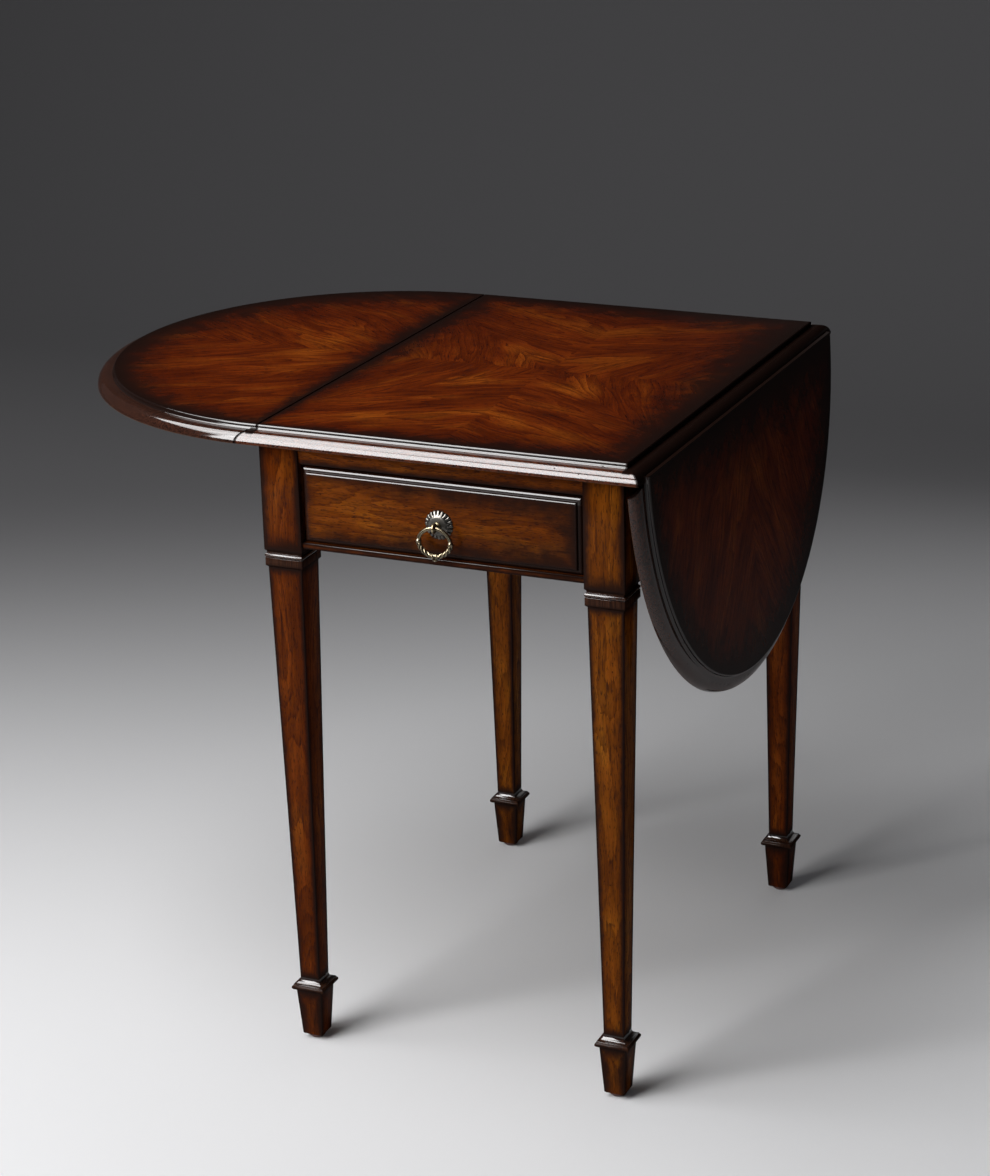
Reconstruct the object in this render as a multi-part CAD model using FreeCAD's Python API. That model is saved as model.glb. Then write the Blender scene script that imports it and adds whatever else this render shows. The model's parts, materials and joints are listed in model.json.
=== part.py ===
import FreeCAD, Part
import math
import os
from FreeCAD import Vector

# Pembroke table, millimetres. +X right along the front, -Y front, +Z up.
# The origin is on the floor, in the middle of the four feet.
# Stored with the left leaf raised and the right leaf hanging.

# Top and leaves
TABLE_HEIGHT = 711.0
TOP_THICKNESS = 17.0
TOP_OVERHANG = 15.0
SEAM_OVERHANG = 2.5
LEAF_STRAIGHT = 7.5
LEAF_HANG_ANGLE = 3.5

# Thumb moulding on every edge of the top, which is also the rule joint
FILLET_HEIGHT = 5.3
LEDGE_WIDTH = 6.3
ARRIS_RADIUS = 1.6
RULE_GAP = 0.8

# Leg frame
FRAME_WIDTH = 404.0
FRAME_DEPTH = 583.0
LEG_BLOCK = 44.0
BLOCK_HEIGHT = 117.5
NECK_INSET = 1.9
NECK_HEIGHT = 4.0
BEAD_HEIGHT = 5.0
COLLAR_HEIGHT = 8.5
COLLAR_INSET = 0.4
SHAFT_INSET = 2.6
SHAFT_FOOT_WIDTH = 22.8
SHAFT_STEP = 2.0
SPADE_COLLAR_WIDTH = 38.4
SPADE_COVE_WIDTH = 35.2
SPADE_TOP_WIDTH = 30.4
SPADE_FOOT_WIDTH = 23.2
SPADE_TOP = 61.5
SPADE_BEAD_HEIGHT = 5.4
SPADE_FILLET_HEIGHT = 1.0
SPADE_COVE_HEIGHT = 7.0
SPADE_CHAMFER = 1.6
GLIDE_HEIGHT = 4.6
GLIDE_RADIUS = 9.0
GLIDE_EDGE = 2.0

# Rails and aprons
APRON_HEIGHT = 112.5
APRON_THICKNESS = 18.0
APRON_SETBACK = 10.0
RAIL_SETBACK = 2.0
RAIL_DEPTH = 20.0
TOP_RAIL_HEIGHT = 20.5
BOTTOM_RAIL_HEIGHT = 6.5
BOTTOM_RAIL_DEPTH = 42.0
TENON_LENGTH = 16.0
TENON_THICKNESS = 8.0
TENON_SHOULDER = 8.0
THIN_TENON_SHOULDER = 1.2
MORTISE_GAP = 0.1

# Drawer and what carries it
DRAWER_SIDE_GAP = 2.0
DRAWER_TOP_GAP = 2.5
DRAWER_BOTTOM_GAP = 0.4
DRAWER_FRONT_THICKNESS = 20.0
DRAWER_WALL = 11.0
DRAWER_LAP = 8.0
DRAWER_BOX_INSET = 4.0
DRAWER_SIDE_DROP = 3.0
DRAWER_BACK_DROP = 6.0
DRAWER_BOTTOM_THICKNESS = 5.0
DRAWER_BOTTOM_RISE = 8.0
GROOVE_DEPTH = 5.0
GROOVE_GAP = 0.1
TAIL_COUNT = 3
TAIL_SPACE = 7.0
TAIL_SLOPE = 9.0
LIP_FILLET = 2.8
LIP_STEP = 0.5
LIP_LEDGE = 1.2
LIP_ROUND = 4.2
RUNNER_WIDTH = 36.0
GUIDE_HEIGHT = 24.0
GUIDE_GAP = 1.0
KICKER_WIDTH = 26.0
STOP_WIDTH = 60.0
STOP_DEPTH = 40.5
STOP_HEIGHT = 40.0
STOP_GAP = 0.5

# Drop-leaf hinges
HINGE_SPACING = 380.0
HINGE_WIDTH = 38.0
HINGE_TOP_LENGTH = 28.0
HINGE_LEAF_LENGTH = 48.0
HINGE_PLATE = 1.6
HINGE_TOP_SCREW_REACH = 11.2
HINGE_LEAF_SCREW_REACH = 24.0
HINGE_SCREW_SPREAD = 24.0
HINGE_SCREW_END = 7.0
KNUCKLE_RADIUS = 3.0
KNUCKLE_GAP = 0.4
PIN_RADIUS = 1.5
PIN_CLEARANCE = 0.05
MORTISE_EASE = 0.5

# Folding stays under the leaves
STAY_SPACING = 240.0
STAY_APRON_DROP = 55.0
STAY_APRON_STANDOFF = 6.8
STAY_LEAF_REACH = 100.0
STAY_LEAF_DROP = 8.0
STAY_FOLD_ANGLE = 84.0
STAY_SLACK = 3.75
STAY_WIDTH = 10.0
STAY_PLATE = 2.5
STAY_GAP = 0.3
STAY_PIN_RADIUS = 2.0
STAY_RIVET_RADIUS = 3.2
STAY_RIVET_HEIGHT = 1.0
STAY_FOOT_LENGTH = 36.0
STAY_FOOT_WIDTH = 12.0

# Screws
SCREW_RADIUS = 1.6
SCREW_HEAD_RADIUS = 3.1
SCREW_HEAD_HEIGHT = 1.5
SCREW_LENGTH = 11.0
SCREW_SLOT_WIDTH = 0.9
SCREW_SLOT_DEPTH = 0.8
SCREW_CLEARANCE = 0.05
TOP_SCREW_RADIUS = 2.1
TOP_SCREW_HEAD_RADIUS = 4.2
TOP_SCREW_HEAD_HEIGHT = 2.4
TOP_SCREW_LENGTH = 19.0
TOP_SCREW_RECESS = 9.0
TOP_SCREW_END = 54.0

# Ring pull
PULL_DROP = 4.25
ROSETTE_RADIUS = 15.6
ROSETTE_RIM = 1.5
ROSETTE_RIM_HEIGHT = 2.2
ROSETTE_DISH_HEIGHT = 1.6
ROSETTE_DOME_RADIUS = 11.8
ROSETTE_DOME_HEIGHT = 5.2
ROSETTE_DOME_BULGE = 1.1
POST_RADIUS = 2.2
POST_COLLAR_RADIUS = 4.0
POST_COLLAR_HEIGHT = 1.6
EYE_STANDOFF = 12.2
EYE_WIRE_RADIUS = 1.5
RING_WIDTH = 40.8
RING_HEIGHT = 34.5
RING_END_SHARE = 0.84
RING_WIRE_RADIUS = 2.1
RING_ROPE_RADIUS = 2.6
RING_BEAD_RADIUS = 3.1
RING_KNOP_RADIUS = 3.4
RING_KNOP_LENGTH = 8.0
RING_BUD_RADIUS = 2.0
RING_BUD_TIP = 0.7
RING_BUD_LENGTH = 5.8
RING_EYE_GAP = 0.5
NUT_ACROSS = 9.0
NUT_HEIGHT = 4.0
NUT_CLEARANCE = 0.02

# Places worked out from the sizes above
X = Vector(1, 0, 0)
Y = Vector(0, 1, 0)
Z = Vector(0, 0, 1)
UNDERSIDE = TABLE_HEIGHT - TOP_THICKNESS
ROUND_RADIUS = TOP_THICKNESS - FILLET_HEIGHT
MOULDING = LEDGE_WIDTH + ROUND_RADIUS
SEAM_SPAN = FRAME_WIDTH + 2 * SEAM_OVERHANG
FIELD_DEPTH = FRAME_DEPTH + 2 * (TOP_OVERHANG - MOULDING)
HINGE_X = SEAM_SPAN / 2 + LEDGE_WIDTH
HINGE_AXIS = Vector(HINGE_X, 0, UNDERSIDE)
LEAF_SWING = 90.0 - LEAF_HANG_ANGLE
LEG_X = (FRAME_WIDTH - LEG_BLOCK) / 2
LEG_Y = (FRAME_DEPTH - LEG_BLOCK) / 2
OPENING_HALF = FRAME_WIDTH / 2 - LEG_BLOCK
LEG_INNER_Y = FRAME_DEPTH / 2 - LEG_BLOCK
FRONT = -FRAME_DEPTH / 2 + RAIL_SETBACK
BACK = FRAME_DEPTH / 2 - RAIL_SETBACK
APRON_OUT = FRAME_WIDTH / 2 - APRON_SETBACK
APRON_IN = APRON_OUT - APRON_THICKNESS
BLOCK_BOTTOM = UNDERSIDE - BLOCK_HEIGHT
APRON_BOTTOM = UNDERSIDE - APRON_HEIGHT
TOP_RAIL_BOTTOM = UNDERSIDE - TOP_RAIL_HEIGHT
BEARER_TOP = APRON_BOTTOM + BOTTOM_RAIL_HEIGHT
DRAWER_BASE = BEARER_TOP + DRAWER_BOTTOM_GAP
DRAWER_TOP = TOP_RAIL_BOTTOM - DRAWER_TOP_GAP
DRAWER_FRONT_HALF = OPENING_HALF - DRAWER_SIDE_GAP
DRAWER_HALF = OPENING_HALF - DRAWER_BOX_INSET
DRAWER_BOX_FRONT = FRONT + DRAWER_FRONT_THICKNESS
DRAWER_BOX_BACK = BACK - APRON_THICKNESS - STOP_DEPTH - STOP_GAP
PANEL_BASE = DRAWER_BASE + DRAWER_BOTTOM_RISE
PANEL_TOP = PANEL_BASE + DRAWER_BOTTOM_THICKNESS
PULL_Z = (DRAWER_BASE + DRAWER_TOP) / 2 - PULL_DROP
EYE_Y = FRONT - EYE_STANDOFF
SIDES = ("left", "right")


def box(low, high):
    """Block between two corners given as (x, y, z)."""
    size = Vector(*high) - Vector(*low)
    return Part.makeBox(size.x, size.y, size.z, Vector(*low))


def line(start, end):
    return Part.LineSegment(start, end).toShape()


def arc(start, middle, end):
    return Part.Arc(start, middle, end).toShape()


def face(edges):
    return Part.Face(Part.Wire(Part.__sortEdges__(edges)))


def polygon(points):
    return Part.Face(Part.makePolygon(points + points[:1]))


def fuse(shapes):
    return shapes[0].multiFuse(shapes[1:]).removeSplitter()


def mirrored(shape):
    """The same piece on the other side of the table, left for right."""
    return shape.mirror(Vector(0, 0, 0), X)


def on_side(shape, side):
    """A piece modelled on the right, placed on the named side."""
    return mirrored(shape) if side == "left" else shape


def group(shapes):
    """Separate solids that share one node."""
    return Part.makeCompound(shapes)


def cylinder(radius, height, base, direction):
    return Part.makeCylinder(radius, height, base, direction)


# Top: one moulding section serves the rule joints and the shaped edges

def moulded_edge(place):
    """Moulding from the top face to the underside; place(out, up) turns a size into a point."""
    slant = math.sqrt(0.5)
    top_end = place(-ARRIS_RADIUS, TABLE_HEIGHT)
    arris_middle = place(-ARRIS_RADIUS * (1 - slant), TABLE_HEIGHT - ARRIS_RADIUS * (1 - slant))
    arris_end = place(0, TABLE_HEIGHT - ARRIS_RADIUS)
    ledge_start = place(0, TABLE_HEIGHT - FILLET_HEIGHT)
    ledge_end = place(LEDGE_WIDTH, TABLE_HEIGHT - FILLET_HEIGHT)
    round_middle = place(LEDGE_WIDTH + ROUND_RADIUS * slant, UNDERSIDE + ROUND_RADIUS * slant)
    round_end = place(MOULDING, UNDERSIDE)
    edges = [arc(top_end, arris_middle, arris_end), line(arris_end, ledge_start),
             line(ledge_start, ledge_end), arc(ledge_end, round_middle, round_end)]
    return edges, top_end, round_end


def moulded_section(half, across):
    """Face across the top, moulded on both edges; across is the direction of its width."""
    edges = []
    ends = []
    for sign in (-1, 1):
        side_edges, top_end, low_end = moulded_edge(lambda out, up: across * (sign * (half + out)) + Z * up)
        edges += side_edges
        ends.append((top_end, low_end))
    edges.append(line(ends[0][0], ends[1][0]))
    edges.append(line(ends[0][1], ends[1][1]))
    return face(edges)


def center_top():
    width = SEAM_SPAN + 2 * MOULDING
    depth = FIELD_DEPTH + 2 * MOULDING
    along = moulded_section(SEAM_SPAN / 2, X).extrude(Y * depth).translated(Y * (-depth / 2))
    across = moulded_section(FIELD_DEPTH / 2, Y).extrude(X * width).translated(X * (-width / 2))
    top = along.common(across)
    cuts = at_hinges([hinge_top_recess()] + hinge_top_screws(SCREW_CLEARANCE))
    cuts += top_screws(SCREW_CLEARANCE)
    return top.cut([on_side(cut, side) for side in SIDES for cut in cuts])


def rule_joint_space():
    """Room that the joint edge of the centre top needs, with the joint's gap, at the right seam."""
    seam = SEAM_SPAN / 2
    slant = math.sqrt(0.5)
    radius = ROUND_RADIUS + RULE_GAP
    start = -FIELD_DEPTH
    margin = MOULDING
    low = UNDERSIDE - margin
    high = TABLE_HEIGHT + margin
    nose = TABLE_HEIGHT - FILLET_HEIGHT + RULE_GAP

    def at(out, up):
        return Vector(seam + out, start, up)
    edges = [line(at(-margin, low), at(-margin, high)), line(at(-margin, high), at(RULE_GAP, high)),
             line(at(RULE_GAP, high), at(RULE_GAP, nose)), line(at(RULE_GAP, nose), at(LEDGE_WIDTH, nose)),
             arc(at(LEDGE_WIDTH, nose), at(LEDGE_WIDTH + radius * slant, UNDERSIDE + radius * slant),
                 at(LEDGE_WIDTH + radius, UNDERSIDE)),
             line(at(LEDGE_WIDTH + radius, UNDERSIDE), at(LEDGE_WIDTH + radius, low)),
             line(at(LEDGE_WIDTH + radius, low), at(-margin, low))]
    return face(edges).extrude(Y * (-2 * start))


def raised_leaf():
    """The right leaf, raised: a half round with a short straight run to the rule joint."""
    seam = SEAM_SPAN / 2
    centre = Vector(seam + LEAF_STRAIGHT, 0, 0)
    radius = FIELD_DEPTH / 2
    edges, top_end, low_end = moulded_edge(lambda out, up: centre - Y * (radius + out) + Z * up)
    edges.append(line(top_end, centre + Z * TABLE_HEIGHT))
    edges.append(line(centre + Z * TABLE_HEIGHT, centre + Z * UNDERSIDE))
    edges.append(line(centre + Z * UNDERSIDE, low_end))
    half_round = face(edges).revolve(centre, Z, 180)
    straight = moulded_section(radius, Y).extrude(X * LEAF_STRAIGHT).translated(X * seam)
    leaf = fuse([half_round, straight]).cut(rule_joint_space())
    cuts = at_hinges([hinge_leaf_recess()] + hinge_leaf_screws(SCREW_CLEARANCE))
    cuts += at_stays(stay_leaf_screws(SCREW_CLEARANCE))
    return leaf.cut(cuts)


def leaf_pose(shape, side):
    """A piece of the raised right leaf, placed on its side: raised on the left, hanging on the right."""
    if side == "left":
        return mirrored(shape)
    return shape.rotated(HINGE_AXIS, Y, LEAF_SWING)


# Screws

def screw(radius, head_radius, head_height, length, clearance):
    """Slotted screw pointing up, the flat of its head at the origin; clearance makes its hole instead."""
    head = Part.makeCone(head_radius + clearance, radius + clearance, head_height)
    shank = cylinder(radius + clearance, length + clearance, Vector(0, 0, 0), Z)
    shape = fuse([head, shank])
    if clearance > 0:
        return shape
    slot_half = SCREW_SLOT_WIDTH / 2
    return shape.cut(box((-2 * head_radius, -slot_half, -SCREW_SLOT_DEPTH),
                         (2 * head_radius, slot_half, SCREW_SLOT_DEPTH)))


def wood_screw(clearance):
    return screw(SCREW_RADIUS, SCREW_HEAD_RADIUS, SCREW_HEAD_HEIGHT, SCREW_LENGTH, clearance)


def top_screws(clearance):
    """Screws that hold the top, up through the right kicker: one near each end and one between."""
    x = DRAWER_HALF - KICKER_WIDTH / 2
    z = TOP_RAIL_BOTTOM + TOP_SCREW_RECESS
    first = FRONT + RAIL_DEPTH + TOP_SCREW_END
    last = BACK - APRON_THICKNESS - TOP_SCREW_END
    shape = screw(TOP_SCREW_RADIUS, TOP_SCREW_HEAD_RADIUS, TOP_SCREW_HEAD_HEIGHT, TOP_SCREW_LENGTH, clearance)
    return [shape.translated(Vector(x, y, z)) for y in (first, (first + last) / 2, last)]


# Drop-leaf hinges, modelled on the right seam at y = 0 with the leaf raised

KNUCKLE = HINGE_WIDTH / 3


def at_hinges(shapes):
    """Pieces of one hinge, repeated at both hinges of a leaf."""
    half = HINGE_SPACING / 2
    return [shape.translated(Y * y) for y in (-half, half) for shape in shapes]


def hinge_screws(near, far, clearance):
    """Screws of one hinge plate: two side by side near the pin and one by the far end."""
    half = HINGE_SCREW_SPREAD / 2
    places = [Vector(near, -half, 0), Vector(near, half, 0), Vector(far, 0, 0)]
    return [wood_screw(clearance).translated(HINGE_AXIS + place) for place in places]


def hinge_top_screws(clearance):
    return hinge_screws(-HINGE_TOP_SCREW_REACH, HINGE_SCREW_END - HINGE_TOP_LENGTH, clearance)


def hinge_leaf_screws(clearance):
    return hinge_screws(HINGE_LEAF_SCREW_REACH, HINGE_LEAF_LENGTH - HINGE_SCREW_END, clearance)


def hinge_plate(reach, knuckles, bore):
    """Flat plate on one side of the pin, with its own knuckles; reach is negative on the top's side."""
    sign = 1 if reach > 0 else -1
    inner = sign * (KNUCKLE_RADIUS + KNUCKLE_GAP)
    half = HINGE_WIDTH / 2
    x_range = sorted((inner, reach))
    shapes = [box((x_range[0], -half, 0), (x_range[1], half, HINGE_PLATE))]
    for low, high in knuckles:
        neck = sorted((0.0, inner))
        shapes.append(box((neck[0], low, 0), (neck[1], high, HINGE_PLATE)))
        shapes.append(cylinder(KNUCKLE_RADIUS, high - low, Vector(0, low, 0), Y))
    plate = fuse(shapes).cut(cylinder(bore, HINGE_WIDTH, Vector(0, -half, 0), Y))
    return plate.translated(HINGE_AXIS)


def hinge_top_plate():
    half = HINGE_WIDTH / 2
    knuckles = [(-half, -KNUCKLE / 2 - KNUCKLE_GAP), (KNUCKLE / 2 + KNUCKLE_GAP, half)]
    plate = hinge_plate(-HINGE_TOP_LENGTH, knuckles, PIN_RADIUS)
    return plate.cut(hinge_top_screws(SCREW_CLEARANCE))


def hinge_leaf_plate():
    knuckles = [(-KNUCKLE / 2, KNUCKLE / 2)]
    plate = hinge_plate(HINGE_LEAF_LENGTH, knuckles, PIN_RADIUS + PIN_CLEARANCE)
    return plate.cut(hinge_leaf_screws(SCREW_CLEARANCE))


def hinge_pin():
    return cylinder(PIN_RADIUS, HINGE_WIDTH, HINGE_AXIS - Y * (HINGE_WIDTH / 2), Y)


def hinge_top_recess():
    """What one hinge takes out of the centre top: bed, knuckle groove and room for the leaf's plate."""
    half = HINGE_WIDTH / 2
    ease = half + MORTISE_EASE
    bed = box((-HINGE_TOP_LENGTH, -half, -HINGE_PLATE), (0, half, HINGE_PLATE))
    groove = cylinder(KNUCKLE_RADIUS + MORTISE_EASE, 2 * ease, Vector(0, -ease, 0), Y)
    passage = box((0, -ease, -HINGE_PLATE), (ROUND_RADIUS + RULE_GAP, ease, HINGE_PLATE + MORTISE_EASE))
    return fuse([bed, groove, passage]).translated(HINGE_AXIS)


def hinge_leaf_recess():
    half = HINGE_WIDTH / 2
    return box((0, -half, -HINGE_PLATE), (HINGE_LEAF_LENGTH, half, HINGE_PLATE)).translated(HINGE_AXIS)


# Folding stays, modelled on the right at y = 0 with the leaf raised
# Across the stay, from the apron's bracket outwards: bracket, apron arm, leaf arm, leaf bracket

STAY_STEP = STAY_PLATE + STAY_GAP


def turned(point, degrees):
    """A point about the hinge axis, turned the way that lowers the right leaf."""
    angle = math.radians(degrees)
    return Vector(point.x * math.cos(angle) + point.z * math.sin(angle), 0,
                  point.z * math.cos(angle) - point.x * math.sin(angle))


def stay_layout():
    """Pivots of the stay about the hinge axis: apron pivot, leaf pivot, raised knee, folded knee."""
    apron = Vector(APRON_OUT + STAY_APRON_STANDOFF - HINGE_X, 0, -STAY_APRON_DROP)
    raised = Vector(STAY_LEAF_REACH, 0, -STAY_LEAF_DROP)
    hanging = turned(raised, LEAF_SWING)
    fold = math.radians(STAY_FOLD_ANGLE)
    folded_way = Vector(math.cos(fold), 0, math.sin(fold))
    span = (raised - apron).Length
    both_arms = span + STAY_SLACK
    gap = apron - hanging
    apron_arm = (both_arms ** 2 - gap.Length ** 2) / (2 * (both_arms + folded_way.dot(gap)))
    leaf_arm = both_arms - apron_arm
    along = (apron_arm ** 2 - leaf_arm ** 2 + span ** 2) / (2 * span)
    rise = math.sqrt(apron_arm ** 2 - along ** 2)
    way = (raised - apron) / span
    knee = apron + way * along + Vector(-way.z, 0, way.x) * rise
    return apron, raised, knee, apron + folded_way * apron_arm


def stay_arm(start, end, level, hole_at):
    """Flat round-ended arm between two points about the hinge axis, with a pin hole at one of them."""
    length = (end - start).Length
    half = STAY_WIDTH / 2
    bar = fuse([box((0, 0, -half), (length, STAY_PLATE, half)),
                cylinder(half, STAY_PLATE, Vector(0, 0, 0), Y),
                cylinder(half, STAY_PLATE, Vector(length, 0, 0), Y)])
    way = end - start
    bar = bar.rotated(Vector(0, 0, 0), Y, -math.degrees(math.atan2(way.z, way.x))).translated(start)
    hole = cylinder(STAY_PIN_RADIUS + PIN_CLEARANCE, STAY_PLATE, hole_at, Y)
    return bar.cut(hole).translated(HINGE_AXIS + Y * (level * STAY_STEP))


def knee_rivet(knee, level, outwards):
    """Rivet head on the free face of an arm at the knee."""
    base = level * STAY_STEP + (STAY_PLATE if outwards else -STAY_RIVET_HEIGHT)
    return cylinder(STAY_RIVET_RADIUS, STAY_RIVET_HEIGHT, HINGE_AXIS + knee + Y * base, Y)


def stay_apron_arm(knee):
    """Arm on the apron: on the left it reaches up to the raised leaf, on the right it is folded."""
    apron = stay_layout()[0]
    return fuse([stay_arm(apron, knee, 1, apron), knee_rivet(knee, 1, False)])


def stay_leaf_arm():
    """Arm on the leaf, for the raised leaf."""
    apron, raised, knee, folded_knee = stay_layout()
    return fuse([stay_arm(raised, knee, 2, raised), knee_rivet(knee, 2, True)])


def folded_leaf_arm():
    """Arm on the leaf, for the hanging leaf."""
    apron, raised, knee, folded_knee = stay_layout()
    hanging = turned(raised, LEAF_SWING)
    return fuse([stay_arm(hanging, folded_knee, 2, hanging), knee_rivet(folded_knee, 2, True)])


def stay_apron_bracket():
    """Bracket on the apron's outer face: a foot, and an ear with the pivot pin."""
    apron = stay_layout()[0]
    half = STAY_WIDTH / 2
    face_x = APRON_OUT - HINGE_X
    foot = box((face_x, -STAY_FOOT_WIDTH + STAY_PLATE, apron.z - STAY_FOOT_LENGTH / 2),
               (face_x + STAY_PLATE, STAY_PLATE, apron.z + STAY_FOOT_LENGTH / 2))
    ear = box((face_x, 0, apron.z - half), (apron.x, STAY_PLATE, apron.z + half))
    tip = cylinder(half, STAY_PLATE, apron, Y)
    pin = cylinder(STAY_PIN_RADIUS, STAY_STEP + STAY_PLATE, apron, Y)
    return fuse([foot, ear, tip, pin]).translated(HINGE_AXIS).cut(stay_apron_screws(SCREW_CLEARANCE))


def stay_apron_screws(clearance):
    apron = stay_layout()[0]
    turned_screw = wood_screw(clearance).rotated(Vector(0, 0, 0), Y, -90)
    x = APRON_OUT + STAY_PLATE
    y = STAY_PLATE - STAY_FOOT_WIDTH / 2
    reach = STAY_FOOT_LENGTH / 2 - STAY_FOOT_WIDTH / 2
    return [turned_screw.translated(Vector(x, y, UNDERSIDE + apron.z + sign * reach)) for sign in (-1, 1)]


def stay_leaf_bracket():
    """Bracket under the leaf: a foot, and an ear with the pivot pin, for the raised leaf."""
    raised = stay_layout()[1]
    half = STAY_WIDTH / 2
    level = 3 * STAY_STEP
    foot = box((raised.x - STAY_FOOT_LENGTH / 2, level, -STAY_PLATE),
               (raised.x + STAY_FOOT_LENGTH / 2, level + STAY_FOOT_WIDTH, 0))
    ear = box((raised.x - half, level, raised.z), (raised.x + half, level + STAY_PLATE, 0))
    tip = cylinder(half, STAY_PLATE, raised + Y * level, Y)
    pin = cylinder(STAY_PIN_RADIUS, STAY_STEP + STAY_PLATE, raised + Y * (level - STAY_STEP), Y)
    return fuse([foot, ear, tip, pin]).translated(HINGE_AXIS).cut(stay_leaf_screws(SCREW_CLEARANCE))


def stay_leaf_screws(clearance):
    raised = stay_layout()[1]
    y = 3 * STAY_STEP + STAY_FOOT_WIDTH / 2
    reach = STAY_FOOT_LENGTH / 2 - STAY_FOOT_WIDTH / 2
    start = HINGE_AXIS + Vector(raised.x, y, -STAY_PLATE)
    return [wood_screw(clearance).translated(start + X * (sign * reach)) for sign in (-1, 1)]


def at_stays(shapes):
    """Pieces of one stay, repeated at both stays of a leaf, which face each other."""
    back = [shape.translated(Y * (STAY_SPACING / 2)) for shape in shapes]
    return back + [shape.mirror(Vector(0, 0, 0), Y) for shape in back]


# Legs

def leg_section():
    """Half widths and heights of a leg, from the top down, as edges in X and Z."""
    half = LEG_BLOCK / 2
    neck = half - NECK_INSET
    collar = half - COLLAR_INSET
    bead_top = BLOCK_BOTTOM - NECK_HEIGHT
    bead_low = bead_top - BEAD_HEIGHT
    collar_low = bead_low - COLLAR_HEIGHT
    shaft = half - SHAFT_INSET
    spade_collar = SPADE_COLLAR_WIDTH / 2
    spade_cove = SPADE_COVE_WIDTH / 2
    spade = SPADE_TOP_WIDTH / 2
    bead_base = SPADE_TOP
    fillet_base = bead_base + SPADE_BEAD_HEIGHT
    cove_base = fillet_base + SPADE_FILLET_HEIGHT
    shaft_base = cove_base + SPADE_COVE_HEIGHT
    shaft_foot = SHAFT_FOOT_WIDTH / 2
    slant = math.sqrt(0.5)
    cove_width = spade_cove - shaft_foot
    foot = SPADE_FOOT_WIDTH / 2
    edges = []
    for sign in (-1, 1):
        def at(out, up):
            return Vector(sign * out, 0, up)
        edges += [line(at(half, UNDERSIDE), at(half, BLOCK_BOTTOM)),
                  line(at(half, BLOCK_BOTTOM), at(neck, BLOCK_BOTTOM - NECK_INSET)),
                  line(at(neck, BLOCK_BOTTOM - NECK_INSET), at(neck, bead_top)),
                  arc(at(neck, bead_top), at(half, bead_top - BEAD_HEIGHT / 2), at(neck, bead_low)),
                  line(at(neck, bead_low), at(collar, bead_low)),
                  line(at(collar, bead_low), at(collar, collar_low)),
                  line(at(collar, collar_low), at(shaft, collar_low - SHAFT_STEP)),
                  line(at(shaft, collar_low - SHAFT_STEP), at(shaft_foot, shaft_base)),
                  arc(at(shaft_foot, shaft_base),
                      at(spade_cove - cove_width * slant, shaft_base - SPADE_COVE_HEIGHT * slant),
                      at(spade_cove, cove_base)),
                  line(at(spade_cove, cove_base), at(spade_cove, fillet_base)),
                  arc(at(spade_cove, fillet_base), at(spade_collar, bead_base + SPADE_BEAD_HEIGHT / 2),
                      at(spade_cove, bead_base)),
                  line(at(spade_cove, bead_base), at(spade, bead_base)),
                  line(at(spade, bead_base), at(foot, GLIDE_HEIGHT + SPADE_CHAMFER)),
                  line(at(foot, GLIDE_HEIGHT + SPADE_CHAMFER), at(foot - SPADE_CHAMFER, GLIDE_HEIGHT))]
    sole = foot - SPADE_CHAMFER
    edges.append(line(Vector(-half, 0, UNDERSIDE), Vector(half, 0, UNDERSIDE)))
    edges.append(line(Vector(-sole, 0, GLIDE_HEIGHT), Vector(sole, 0, GLIDE_HEIGHT)))
    return face(edges)


def square_leg():
    """Square leg whose mouldings are mitred at the corners: the section taken across both ways."""
    one_way = leg_section().extrude(Y * LEG_BLOCK).translated(Y * (-LEG_BLOCK / 2))
    other_way = one_way.rotated(Vector(0, 0, 0), Z, 90)
    return one_way.common(other_way)


def leg(front_back, left_right):
    """Leg at one corner, cut for the tenons that enter it."""
    place = Vector(left_right * LEG_X, front_back * LEG_Y, 0)
    cuts = [on_side(shape, "right" if left_right > 0 else "left")
            for shape in leg_mortises(front_back)]
    return square_leg().translated(place).cut(cuts)


def leg_mortises(front_back):
    """Mortises of a right-hand leg, each larger than its tenon by the mortise gap."""
    if front_back < 0:
        return [apron_tenon(-1, MORTISE_GAP), top_rail_tenon(MORTISE_GAP), bottom_rail_tenon(MORTISE_GAP)]
    return [apron_tenon(1, MORTISE_GAP), back_tenon(MORTISE_GAP)]


def glide():
    """Round foot glide, pressed flat on the floor and eased at its rim."""
    edges = [line(Vector(0, 0, 0), Vector(GLIDE_RADIUS - GLIDE_EDGE, 0, 0)),
             line(Vector(GLIDE_RADIUS - GLIDE_EDGE, 0, 0), Vector(GLIDE_RADIUS, 0, GLIDE_EDGE)),
             line(Vector(GLIDE_RADIUS, 0, GLIDE_EDGE), Vector(GLIDE_RADIUS, 0, GLIDE_HEIGHT)),
             line(Vector(GLIDE_RADIUS, 0, GLIDE_HEIGHT), Vector(0, 0, GLIDE_HEIGHT)),
             line(Vector(0, 0, GLIDE_HEIGHT), Vector(0, 0, 0))]
    return face(edges).revolve(Vector(0, 0, 0), Z, 360)


def floor_glides():
    corners = [Vector(x, y, 0) for x in (-LEG_X, LEG_X) for y in (-LEG_Y, LEG_Y)]
    return group([glide().translated(corner) for corner in corners])


# Rails and aprons, with their tenons at the right-hand or named end

def apron_tenon(front_back, gap):
    """Tenon of the right side apron in a front or back leg."""
    x = (APRON_IN + APRON_OUT) / 2
    y_range = sorted((front_back * LEG_INNER_Y, front_back * (LEG_INNER_Y + TENON_LENGTH + gap)))
    half = TENON_THICKNESS / 2 + gap
    return box((x - half, y_range[0], APRON_BOTTOM + TENON_SHOULDER - gap),
               (x + half, y_range[1], UNDERSIDE - TENON_SHOULDER + gap))


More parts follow.
